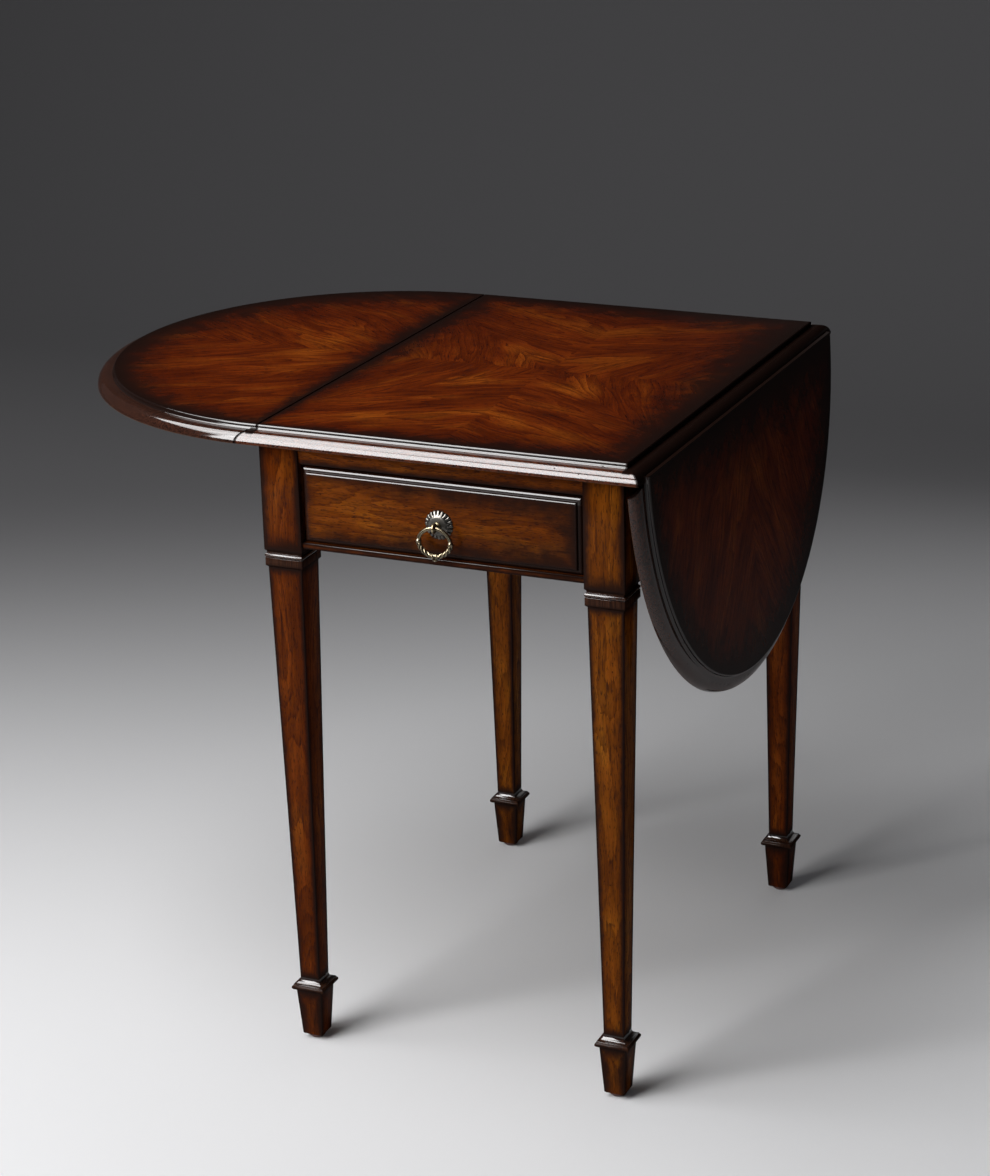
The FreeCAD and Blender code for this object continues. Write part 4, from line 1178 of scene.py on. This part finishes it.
def new_piece(name: str, mesh: Mesh, material: bpy.types.Material,
              sharp: float | None = None) -> bpy.types.Object:
    """Turn a bmesh into a smooth object of the scene.

    Args:
        name: name of the piece.
        mesh: its shape, in the frame's metres; it is freed here.
        material: its only material.
        sharp: angle in degrees past which its edges stay sharp, or None where it has no such edge.

    Returns:
        The new object.
    """
    for face in mesh.faces:
        face.smooth = True
    data = bpy.data.meshes.new(name)
    mesh.to_mesh(data)
    mesh.free()
    data.materials.append(material)
    if sharp is not None:
        data.set_sharp_from_angle(angle=math.radians(sharp))
    piece = bpy.data.objects.new(name, data)
    bpy.context.scene.collection.objects.link(piece)
    LOG.info("made %s, %d faces", name, len(data.polygons))
    return piece


@dataclass(frozen=True)
class CornerEasing:
    """Sandpaper on the corners of a solid: how far it reaches, and which edges count as corners."""

    width: float = 0.0007
    merge: float = 1e-6
    flat: float = 0.5
    corner: float = 35.0
    sharp: float = 50.0

    def build(self, node: str, material: bpy.types.Material) -> None:
        """Stand a copy of a solid with eased corners in for it.

        Args:
            node: name of the solid.
            material: material of the copy, which rides on the solid's body.
        """
        mesh = bmesh.new()
        mesh.from_mesh(frame["nodes"][node].data)
        bmesh.ops.remove_doubles(mesh, verts=mesh.verts, dist=self.merge)
        flat = math.radians(self.flat)
        bmesh.ops.dissolve_limit(mesh, angle_limit=flat, verts=mesh.verts, edges=mesh.edges)
        corners = [edge for edge in mesh.edges
                   if len(edge.link_faces) == 2 and edge.calc_face_angle(0.0) > math.radians(self.corner)]
        bmesh.ops.bevel(mesh, geom=corners, offset=self.width, offset_type="OFFSET", affect="EDGES",
                        segments=2, profile=0.5, material=-1, clamp_overlap=True)
        piece = new_piece(node + "_eased", mesh, material, self.sharp)
        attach(piece, body_of(node))
        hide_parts(node)


@dataclass
class TableTop:
    """The centre top and its two leaves, with the small cove where their upright edges meet the ledge."""

    finish: WoodFinish = VENEER
    leaf_finish: WoodFinish = SHADED_LEAF_VENEER
    cove: float = 0.0027
    cove_steps: int = 8
    sunk: float = 0.0003
    seam_gap: float = 0.0008
    rim_steps: int = 120
    sharp: float = 40.0

    def build(self) -> None:
        """Dress the centre top and the leaves with matched veneer, and add their coves."""
        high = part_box("center_top")[1]
        half_width = high.x - EDGE.width
        half_depth = high.y - EDGE.width
        material = self.finish.material("veneer_top", TopLayout(half_width, half_depth))
        dress("center_top", material)
        self.top_coves(half_width, half_depth, material)
        joints = {joint["name"]: joint for joint in frame["joints"]}
        for side in Side:
            joint = joints[side.word + "_leaf_hinge"]
            swing = math.radians(joint["range_deg"][1])
            layout = LeafLayout(side, half_width, half_depth, Vector(joint["pos_m"]), swing)
            material = self.leaf_finish.material("veneer_leaf_" + side.word, layout)
            dress("leaf_" + side.word, material)
            self.leaf_cove(layout, material)

    def section(self, mesh: Mesh, x: float, half_depth: float) -> Geometry:
        """Draw the section of a cove at the front edge.

        Args:
            mesh: mesh that takes the section.
            x: where along the edge it stands.
            half_depth: distance of the upright edge from the table's middle.

        Returns:
            The section's vertices and edges.
        """
        points = [mesh.verts.new((x, self.sunk - half_depth, EDGE.ledge - self.sunk))]
        for number in range(self.cove_steps + 1):
            angle = math.pi / 2 * number / self.cove_steps
            out = self.cove * (1.0 - math.cos(angle))
            up = self.cove * (1.0 - math.sin(angle))
            points.append(mesh.verts.new((x, -half_depth - out, EDGE.ledge + up)))
        return points + [mesh.edges.new(pair) for pair in zip(points, points[1:] + points[:1])]

    def lengthen(self, mesh: Mesh, geometry: Geometry, length: float) -> Geometry:
        """Draw a section out along X.

        Args:
            mesh: mesh that holds the section.
            geometry: vertices and edges of the section.
            length: how far it is drawn.

        Returns:
            The vertices and edges of the far end.
        """
        edges = [item for item in geometry if isinstance(item, bmesh.types.BMEdge)]
        grown = bmesh.ops.extrude_edge_only(mesh, edges=edges)["geom"]
        points = [item for item in grown if isinstance(item, bmesh.types.BMVert)]
        bmesh.ops.translate(mesh, verts=points, vec=(length, 0.0, 0.0))
        return points + [item for item in grown if isinstance(item, bmesh.types.BMEdge)
                         and all(point in points for point in item.verts)]

    def finish_cove(self, name: str, mesh: Mesh, material: bpy.types.Material, node: str) -> None:
        """Close the ends of a cove and let it ride with its panel.

        Args:
            name: name of the cove.
            mesh: its shape.
            material: material of its panel.
            node: name of the panel's solid.
        """
        close_ends(mesh)
        bmesh.ops.recalc_face_normals(mesh, faces=mesh.faces)
        piece = new_piece(name, mesh, material, self.sharp)
        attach(piece, body_of(node))

    def top_coves(self, half_width: float, half_depth: float, material: bpy.types.Material) -> None:
        """Make the coves along the front and the back of the centre top.

        Args:
            half_width: half of the length of a cove.
            half_depth: distance of the upright edges from the table's middle.
            material: material of the centre top.
        """
        mesh = bmesh.new()
        self.lengthen(mesh, self.section(mesh, -half_width, half_depth), 2 * half_width)
        bmesh.ops.mirror(mesh, geom=[*mesh.verts, *mesh.edges, *mesh.faces], merge_dist=0.0, axis="Y")
        self.finish_cove("top_coves", mesh, material, "center_top")

    def leaf_cove(self, layout: LeafLayout, material: bpy.types.Material) -> None:
        """Make the cove round the rim of a leaf, as on a raised right leaf, and bring it to its own leaf.

        Args:
            layout: where the leaf's joint, rim and hinge are.
            material: material of the leaf.
        """
        mesh = bmesh.new()
        straight = EDGE.leaf_straight - self.seam_gap
        end = self.section(mesh, layout.seam + self.seam_gap, layout.radius)
        end = self.lengthen(mesh, end, straight)
        turned = bmesh.ops.spin(mesh, geom=end, cent=(layout.seam + EDGE.leaf_straight, 0.0, 0.0),
                                axis=(0.0, 0.0, 1.0), angle=math.pi, steps=self.rim_steps)
        self.lengthen(mesh, turned["geom_last"], -straight)
        if layout.side is Side.RIGHT:
            turn = Matrix.Rotation(layout.swing, 3, "Y")
            bmesh.ops.rotate(mesh, verts=mesh.verts, cent=layout.hinge, matrix=turn)
        else:
            bmesh.ops.scale(mesh, verts=mesh.verts, vec=(-1.0, 1.0, 1.0))
        node = "leaf_" + layout.side.word
        self.finish_cove(node + "_cove", mesh, material, node)


@dataclass
class LegFrame:
    """Legs with their floor glides, rails and aprons, and the boards that guide the drawer."""

    leg_finish: WoodFinish = LEG_WOOD
    red_leg_finish: WoodFinish = RED_AND_SHADED_LEG_WOOD
    rail_finish: WoodFinish = RAIL_WOOD
    inner_finish: WoodFinish = INNER_WOOD
    easing: CornerEasing = CornerEasing()
    glide_colors: tuple[Color, Color] = ((0.035, 0.009, 0.006), (0.085, 0.026, 0.017))
    glide_roughness: Span = (0.2, 0.8, 0.45, 0.62)
    scuff_scale: float = 420.0

    def build(self) -> None:
        """Ease and dress the wood of the frame, and dress the glides."""
        for end in ("front", "back"):
            for side in Side:
                self.leg(end, side)
        rails = {"front_top_rail": Axis.X, "front_bottom_rail": Axis.X, "back_apron": Axis.X,
                 "side_apron_left": Axis.Y, "side_apron_right": Axis.Y}
        for node, axis in rails.items():
            layout = BoardLayout(*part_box(node), axis)
            self.easing.build(node, self.rail_finish.material(node + "_wood", layout))
        dress_boards({"drawer_runner_left": Axis.Y, "drawer_runner_right": Axis.Y,
                      "drawer_kicker_left": Axis.Y, "drawer_kicker_right": Axis.Y,
                      "drawer_stop": Axis.X}, self.inner_finish)
        dress("floor_glides", self.glide_material())

    def leg(self, end: str, side: Side) -> None:
        """Ease and dress a leg, of the redder wood at the front left, its own tone, and at the back right, as
        painted shade.

        Args:
            end: front or back.
            side: side of the table.
        """
        node = f"leg_{end}_{side.word}"
        low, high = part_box(node)
        takes_red_and_shaded_wood = (end == "front") == (side is Side.LEFT)
        finish = self.red_leg_finish if takes_red_and_shaded_wood else self.leg_finish
        self.easing.build(node, finish.material(node + "_wood", LegLayout((low + high) / 2)))

    def glide_material(self) -> bpy.types.Material:
        """Make the reddish-brown moulded material of the glides.

        Returns:
            The material.
        """
        material, kit, shader = new_material("glide_moulded")
        scuffs = kit.noise(kit.object_place(), self.scuff_scale, detail=4.0, roughness=0.6)
        kit.feed(shader.inputs["Base Color"], kit.mix(scuffs, *self.glide_colors))
        kit.feed(shader.inputs["Roughness"], kit.span(scuffs, *self.glide_roughness))
        return material


@dataclass
class Drawer:
    """The drawer's front, whose dark border is wider on the right, and its plain box."""

    front_finish: WoodFinish = CASE_WOOD
    box_finish: WoodFinish = INNER_WOOD
    front_skew: float = 0.5

    def build(self) -> None:
        """Dress the front and the boards of the box."""
        front = BoardLayout(*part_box("drawer_front"), Axis.X, skew=self.front_skew)
        dress("drawer_front", self.front_finish.material("drawer_front_wood", front))
        dress_boards({"drawer_side_left": Axis.Y, "drawer_side_right": Axis.Y, "drawer_back": Axis.X,
                      "drawer_bottom": Axis.X}, self.box_finish)


@dataclass
class RingPull:
    """Toothed rosette, post and oval roped ring of the drawer's pull.

    A row of the rosette's profile has a radius, a height, how much the teeth cut it and how dark it is, which
    paints shade on the dome and at the foot against the drawer. A row of the knop's or the bud's has a place
    along its axis, a radius and how dark it is.
    """

    teeth: int = 20
    tooth_steps: int = 8
    tooth_from: float = 0.62
    tooth_slope: float = 0.45
    tooth_inset: float = 0.05
    tooth_depth: float = 0.72
    wire: float = 0.0021
    wire_sides: int = 28
    groove_width: float = 0.32
    groove_depth: float = 0.22
    groove_tone: float = 0.95
    rope: float = 0.0026
    rope_sides: int = 26
    strands: int = 3
    strand_roundness: float = 1.4
    strand_depth: float = 0.42
    strand_tone: float = 1.6
    lead: float = 0.0168
    bead: float = 0.0030
    bead_sides: tuple[int, int] = (20, 14)
    half_width: float = 0.0178
    half_height: float = 0.0149
    end_radius: float = 0.012516
    section_length: float = 0.0005
    knop_sides: int = 28
    sharp: float = 60.0
    # The last column of the rosette's rows is painted shade on the dome and at its foot; the teeth's gaps get
    # patina.
    rosette_profile: tuple[Span, ...] = (
        (0.0023, 0.0047, 0.0, 0.70), (0.0050, 0.0046, 0.0, 0.66), (0.0078, 0.0044, 0.0, 0.55),
        (0.0092, 0.0042, 0.0, 0.35), (0.0102, 0.0038, 0.0, 0.08), (0.0112, 0.0032, 0.1, 0.0),
        (0.0120, 0.0027, 0.7, 0.0), (0.0130, 0.0023, 1.0, 0.0), (0.0141, 0.0019, 1.0, 0.0),
        (0.0149, 0.0014, 1.0, 0.05), (0.0154, 0.0009, 1.0, 0.20), (0.0156, 0.0004, 1.0, 0.30),
        (0.0153, 0.0, 0.4, 0.80), (0.0023, 0.0, 0.0, 1.0))
    knop_half: tuple[Place, ...] = (
        (0.0, 0.0023, 1.0), (0.0010, 0.0025, 0.8), (0.0014, 0.0032, 0.1), (0.0021, 0.0034, 0.0),
        (0.0028, 0.0032, 0.1), (0.0031, 0.0026, 0.9), (0.0034, 0.0029, 0.1), (0.0038, 0.0029, 0.0),
        (0.0040, 0.0024, 0.8))
    bud_profile: tuple[Place, ...] = (
        (0.0022, 0.0022, 0.9), (0.0032, 0.0016, 0.9), (0.0037, 0.0025, 0.1), (0.0045, 0.0024, 0.0),
        (0.0053, 0.0014, 0.0), (0.0058, 0.0004, 0.0))

    @property
    def end_inset(self) -> float:
        """Distance from the middle of the oval to that of an end arc."""
        return self.half_width - self.end_radius

    @property
    def flat_inset(self) -> float:
        """Distance from the middle of the oval to that of a flat arc, which lies beyond it."""
        rise = self.half_height - self.end_radius
        return (self.end_inset ** 2 - rise ** 2) / (2 * rise)

    @property
    def flat_half(self) -> float:
        """Half of the angle that a flat arc covers."""
        return math.atan2(self.end_inset, self.flat_inset)

    def build(self) -> None:
        """Make the rosette and the ring, and dress the post and the nut."""
        self.rosette()
        self.ring()
        dress("pull_post", EYE_BRASS.material("post_brass"))
        dress("pull_nut", SCREW_STEEL.material("nut_steel"))

    def hollow_mask(self, kit: NodeKit) -> Socket:
        """Return 1 on bright places and 0 in hollows and painted shade, from the piece's own attribute."""
        hollow = kit.node("ShaderNodeAttribute", attribute_name="hollow").outputs["Fac"]
        return kit.math("SUBTRACT", 1.0, hollow)

    def rosette(self) -> None:
        """Make the rosette: a broad dome whose sloping rim is cut into teeth."""
        low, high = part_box("pull_rosette")
        middle = Vector((0.0, high.y, (low.z + high.z) / 2))
        mesh = bmesh.new()
        hollow = mesh.verts.layers.float.new("hollow")
        toothed = mesh.verts.layers.float.new("toothed")
        points = []
        for radius, height, share, tone in self.rosette_profile:
            point = mesh.verts.new(middle + Vector((radius, -height, 0.0)))
            point[toothed] = share
            point[hollow] = tone
            points.append(point)
        edges = [mesh.edges.new(pair) for pair in zip(points, points[1:] + points[:1])]
        bmesh.ops.spin(mesh, geom=points + edges, cent=middle, axis=(0.0, 1.0, 0.0), angle=2 * math.pi,
                       steps=self.teeth * self.tooth_steps, use_merge=True)
        for point in mesh.verts:
            self.cut_tooth(point, hollow, toothed, middle)
        mesh.verts.layers.float.remove(toothed)
        bmesh.ops.recalc_face_normals(mesh, faces=mesh.faces)
        material = ROSETTE_PEWTER.material("rosette_pewter", self.hollow_mask)
        piece = new_piece("rosette_toothed", mesh, material, self.sharp)
        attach(piece, body_of("pull_rosette"))
        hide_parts("pull_rosette")

    def cut_tooth(self, point: bmesh.types.BMVert, hollow: Layer, toothed: Layer, middle: Vector) -> None:
        """Press a point of the rosette down where it lies between two teeth.

        Args:
            point: a point of the rosette.
            hollow: layer that takes how deep the point lies.
            toothed: layer that says how much the teeth cut the point's ring.
            middle: middle of the rosette's back.
        """
        offset = point.co - middle
        crest = abs(math.cos(self.teeth * math.atan2(offset.z, offset.x) / 2))
        sunk = min(1.0, max(0.0, (self.tooth_from - crest) / self.tooth_slope)) * point[toothed]
        inset = 1.0 - self.tooth_inset * sunk
        lowered = 1.0 - self.tooth_depth * sunk
        point.co = middle + Vector((offset.x * inset, offset.y * lowered, offset.z * inset))
        point[hollow] = max(point[hollow], sunk)

    def ring(self) -> None:
        """Make the ring: a grooved wire above, a rope below, two beads and a knop with its bud."""
        low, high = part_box("pull_ring")
        middle = Vector((0.0, (low.y + high.y) / 2, high.z - self.wire - self.half_height))
        mesh = bmesh.new()
        hollow = mesh.verts.layers.float.new("hollow")
        self.bar(mesh, hollow, middle, self.wire, 1, self.wire_sides)
        for point in self.bar(mesh, hollow, middle, self.rope, -1, self.rope_sides):
            self.twist(point, hollow, middle)
        for side in Side:
            place = middle + Vector((side.value * self.half_width, 0.0, 0.0))
            bmesh.ops.create_uvsphere(mesh, u_segments=self.bead_sides[0], v_segments=self.bead_sides[1],
                                      radius=self.bead, matrix=Matrix.Translation(place))
        self.knop(mesh, hollow, middle - Vector((0.0, 0.0, self.half_height)))
        bmesh.ops.recalc_face_normals(mesh, faces=mesh.faces)
        material = RING_BRASS.material("ring_brass", self.hollow_mask)
        piece = new_piece("ring_roped", mesh, material, self.sharp)
        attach(piece, body_of("pull_ring"))
        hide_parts("pull_ring")

    def bar(self, mesh: Mesh, hollow: Layer, middle: Vector, thick: float, turn: int,
            sides: int) -> list[bmesh.types.BMVert]:
        """Sweep a bar along half of the oval, from its left end to its right.

        Args:
            mesh: mesh that takes the bar.
            hollow: layer that takes how deep in a groove a point lies.
            middle: middle of the oval.
            thick: radius of the bar.
            turn: 1 for the upper half, whose front gets a fine groove, or -1 for the lower.
            sides: points round the bar.

        Returns:
            The bar's vertices.
        """
        before = set(mesh.verts)
        start = middle - Vector((self.half_width, 0.0, 0.0))
        section = bmesh.ops.create_circle(mesh, segments=sides, radius=thick,
                                          matrix=Matrix.Translation(start))["verts"]
        for point in section:
            spoke = point.co - start
            from_front = math.atan2(spoke.x, -spoke.y)
            groove = max(0, turn) * math.exp(-(from_front / self.groove_width) ** 2)
            point.co = start + spoke * (1.0 - self.groove_depth * groove)
            point[hollow] = self.groove_tone * groove
        last = list(section) + list({edge for point in section for edge in point.link_edges})
        end = math.pi / 2 - self.flat_half
        arcs = ((-self.end_inset, 0.0, end, self.end_radius),
                (0.0, -turn * self.flat_inset, 2 * self.flat_half, self.half_height + self.flat_inset),
                (self.end_inset, 0.0, end, self.end_radius))
        for x, z, sweep, radius in arcs:
            turned = bmesh.ops.spin(mesh, geom=last, cent=middle + Vector((x, 0.0, z)), axis=(0.0, 1.0, 0.0),
                                    angle=turn * sweep, steps=round(radius * sweep / self.section_length))
            last = turned["geom_last"]
        close_ends(mesh)
        return [point for point in mesh.verts if point not in before]

    def twist(self, point: bmesh.types.BMVert, hollow: Layer, middle: Vector) -> None:
        """Press a point of the rope into the groove between its strands, which mirror each other.

        Args:
            point: a point of the lower bar.
            hollow: layer that takes how deep in a groove the point lies.
            middle: middle of the oval.
        """
        offset = point.co - middle
        pivot = Vector((0.0, 0.0, self.flat_inset))
        radius = self.half_height + self.flat_inset
        angle = math.atan2(abs(offset.x), self.flat_inset - offset.z)
        along = radius * min(angle, self.flat_half)
        if angle > self.flat_half:
            pivot = Vector((math.copysign(self.end_inset, offset.x), 0.0, 0.0))
            radius = self.end_radius
            along += radius * (math.atan2(abs(offset.x) - self.end_inset, -offset.z) - self.flat_half)
        outwards = Vector((offset.x - pivot.x, 0.0, offset.z - pivot.z)).normalized()
        core = middle + pivot + outwards * radius
        spoke = point.co - core
        turn = math.atan2(spoke.y, spoke.dot(outwards)) + 2 * math.pi * along / self.lead
        groove = (1.0 - abs(math.cos(self.strands * turn / 2))) ** self.strand_roundness
        point[hollow] = min(1.0, groove * self.strand_tone)
        point.co = core + spoke * (1.0 - self.strand_depth * groove)

    def knop(self, mesh: Mesh, hollow: Layer, foot: Vector) -> None:
        """Spin the knop at the ring's foot, two collars with rings beside them, and the bud below.

        Args:
            mesh: mesh that takes the knop.
            hollow: layer that takes how dark each point is.
            foot: lowest point of the oval's middle line.
        """
        mirrored = [(-place, radius, tone) for place, radius, tone in reversed(self.knop_half[1:])]
        collar = mirrored + list(self.knop_half)
        for profile, along, across in ((collar, Vector((1, 0, 0)), Vector((0, 0, 1))),
                                       (self.bud_profile, Vector((0, 0, -1)), Vector((1, 0, 0)))):
            points = []
            for place, radius, tone in profile:
                point = mesh.verts.new(foot + along * place + across * radius)
                point[hollow] = tone
                points.append(point)
            edges = [mesh.edges.new(pair) for pair in zip(points, points[1:])]
            bmesh.ops.spin(mesh, geom=points + edges, cent=foot, axis=along, angle=2 * math.pi,
                           steps=self.knop_sides, use_merge=True)
        close_ends(mesh)


@dataclass
class LeafHardware:
    """Hinges, stays and screws under the leaves."""

    hinge_finish: MetalFinish = HINGE_BRASS
    stay_finish: MetalFinish = STAY_STEEL
    screw_finish: MetalFinish = SCREW_STEEL

    def build(self) -> None:
        """Dress every piece of hardware by its kind."""
        hinge = self.hinge_finish.material("hinge_brass")
        stay = self.stay_finish.material("stay_steel")
        screw = self.screw_finish.material("screw_steel")
        for node in sorted(frame["nodes"]):
            if "screws" in node or node.startswith("hinge_pins"):
                dress(node, screw)
            elif node.startswith("hinge"):
                dress(node, hinge)
            elif node.startswith("stay"):
                dress(node, stay)


@dataclass(frozen=True)
class SoftLamp:
    """A soft rectangular lamp that faces a point, and may show in polished surfaces alone."""

    name: str
    place: Place
    aim: Place
    size: Pair
    power: float
    shine_only: bool = False

    def build(self) -> None:
        """Make the lamp, which the camera doesn't see."""
        light = bpy.data.lights.new(self.name, "AREA")
        light.shape = "RECTANGLE"
        light.size, light.size_y = self.size
        light.energy = self.power
        lamp = bpy.data.objects.new(self.name, light)
        lamp.location = self.place
        facing = Vector(self.aim) - Vector(self.place)
        lamp.rotation_euler = facing.to_track_quat("-Z", "Y").to_euler()
        lamp.visible_diffuse = not self.shine_only
        lamp.visible_camera = False
        bpy.context.scene.collection.objects.link(lamp)


@dataclass
class Studio:
    """Pale sweep, soft lamps and the camera."""

    lens: float = 89.0
    sensor: float = 36.0
    camera_place: Place = (1.2002, -2.8076, 1.5607)
    camera_turns: Place = (70.184, 1.4186, 23.847)
    lamps: tuple[SoftLamp, ...] = (
        SoftLamp("key_softbox", (-1.55, -2.65, 2.20), (0.0, -0.1, 0.55), (1.8, 2.2), 120.0),
        SoftLamp("overhead_softbox", (-1.0, -0.85, 3.0), (-0.3, -0.4, 0.6), (1.5, 2.0), 60.0),
        SoftLamp("front_reflector", (-1.5, -2.7, 2.05), (0.0, -0.3, 0.65), (1.7, 2.0), 170.0, True),
        SoftLamp("overhead_reflector", (-1.45, -0.65, 2.85), (-0.3, -0.4, 0.6), (2.2, 1.9), 190.0, True),
        SoftLamp("back_fill", (0.1, 1.75, 0.75), (0.0, 0.2, 0.42), (1.2, 0.6), 2.0))
    world_color: Color = (0.9, 0.92, 1.0)
    world_strength: float = 0.06
    sweep_half: float = 6.0
    sweep_near: float = -5.0
    sweep_bend: float = 2.2
    sweep_radius: float = 2.2
    sweep_steps: int = 24
    wall_lean: float = 80.0
    wall_height: float = 6.0
    floor_color: Color = (0.66, 0.66, 0.67)
    # Painted shade: the sweep's colour falls from the floor's to this darker one towards the back, as the
    # lamps' light falls off.
    wall_color: Color = (0.13, 0.128, 0.132)
    wall_slant: float = -0.5
    wall_from: Pair = (-0.2, 2.15)
    sweep_roughness: float = 0.75

    def build(self) -> None:
        """Make the sweep, the lamps, the world and the camera."""
        self.sweep()
        for lamp in self.lamps:
            lamp.build()
        self.world()
        self.camera()

    def sweep(self) -> None:
        """Make the floor that curves up into a wall behind the table."""
        mesh = bmesh.new()
        lean = math.radians(self.wall_lean)
        near = mesh.verts.new((-self.sweep_half, self.sweep_near, 0.0))
        bend = mesh.verts.new((-self.sweep_half, self.sweep_bend, 0.0))
        mesh.edges.new((near, bend))
        pivot = (-self.sweep_half, self.sweep_bend, self.sweep_radius)
        turned = bmesh.ops.spin(mesh, geom=[bend], cent=pivot, axis=(1.0, 0.0, 0.0), angle=lean,
                                steps=self.sweep_steps)
        last = [item for item in turned["geom_last"] if isinstance(item, bmesh.types.BMVert)][0]
        upwards = Vector((0.0, math.cos(lean), math.sin(lean)))
        mesh.edges.new((last, mesh.verts.new(last.co + upwards * self.wall_height)))
        grown = bmesh.ops.extrude_edge_only(mesh, edges=list(mesh.edges))
        moved = [item for item in grown["geom"] if isinstance(item, bmesh.types.BMVert)]
        bmesh.ops.translate(mesh, verts=moved, vec=(2 * self.sweep_half, 0.0, 0.0))
        bmesh.ops.recalc_face_normals(mesh, faces=mesh.faces)
        material = self.sweep_material()
        new_piece("pale_sweep", mesh, material)

    def sweep_material(self) -> bpy.types.Material:
        """Make the matte material of the sweep, pale in front and dark behind as painted shade.

        Returns:
            The material.
        """
        material, kit, shader = new_material("pale_sweep")
        x, y = kit.split(kit.object_place())[:2]
        shaded_behind = kit.step(kit.math("MULTIPLY_ADD", x, self.wall_slant, y), *self.wall_from)
        kit.feed(shader.inputs["Base Color"], kit.mix(shaded_behind, self.floor_color, self.wall_color))
        shader.inputs["Roughness"].default_value = self.sweep_roughness
        shader.inputs["Specular IOR Level"].default_value = 0.0
        return material

    def world(self) -> None:
        """Fill the room with a faint even light."""
        world = bpy.data.worlds.new("studio")
        world.use_nodes = True
        background = world.node_tree.nodes["Background"]
        background.inputs["Color"].default_value = (*self.world_color, 1.0)
        background.inputs["Strength"].default_value = self.world_strength
        bpy.context.scene.world = world

    def camera(self) -> None:
        """Place the camera where the photograph was taken from."""
        data = bpy.data.cameras.new("photo_camera")
        data.lens = self.lens
        data.sensor_width = self.sensor
        camera = bpy.data.objects.new("photo_camera", data)
        camera.location = self.camera_place
        camera.rotation_euler = [math.radians(turn) for turn in self.camera_turns]
        bpy.context.scene.collection.objects.link(camera)
        bpy.context.scene.camera = camera


def main() -> None:
    """Build the looks of the table, piece by piece, and the studio round it."""
    logging.basicConfig(level=logging.INFO, format="%(name)s: %(message)s")
    bpy.context.scene.view_settings.view_transform = "Standard"
    for assembly in (TableTop(), LegFrame(), Drawer(), RingPull(), LeafHardware(), Studio()):
        assembly.build()
        LOG.info("finished %s", type(assembly).__name__)


if __name__ == "__main__":
    main()
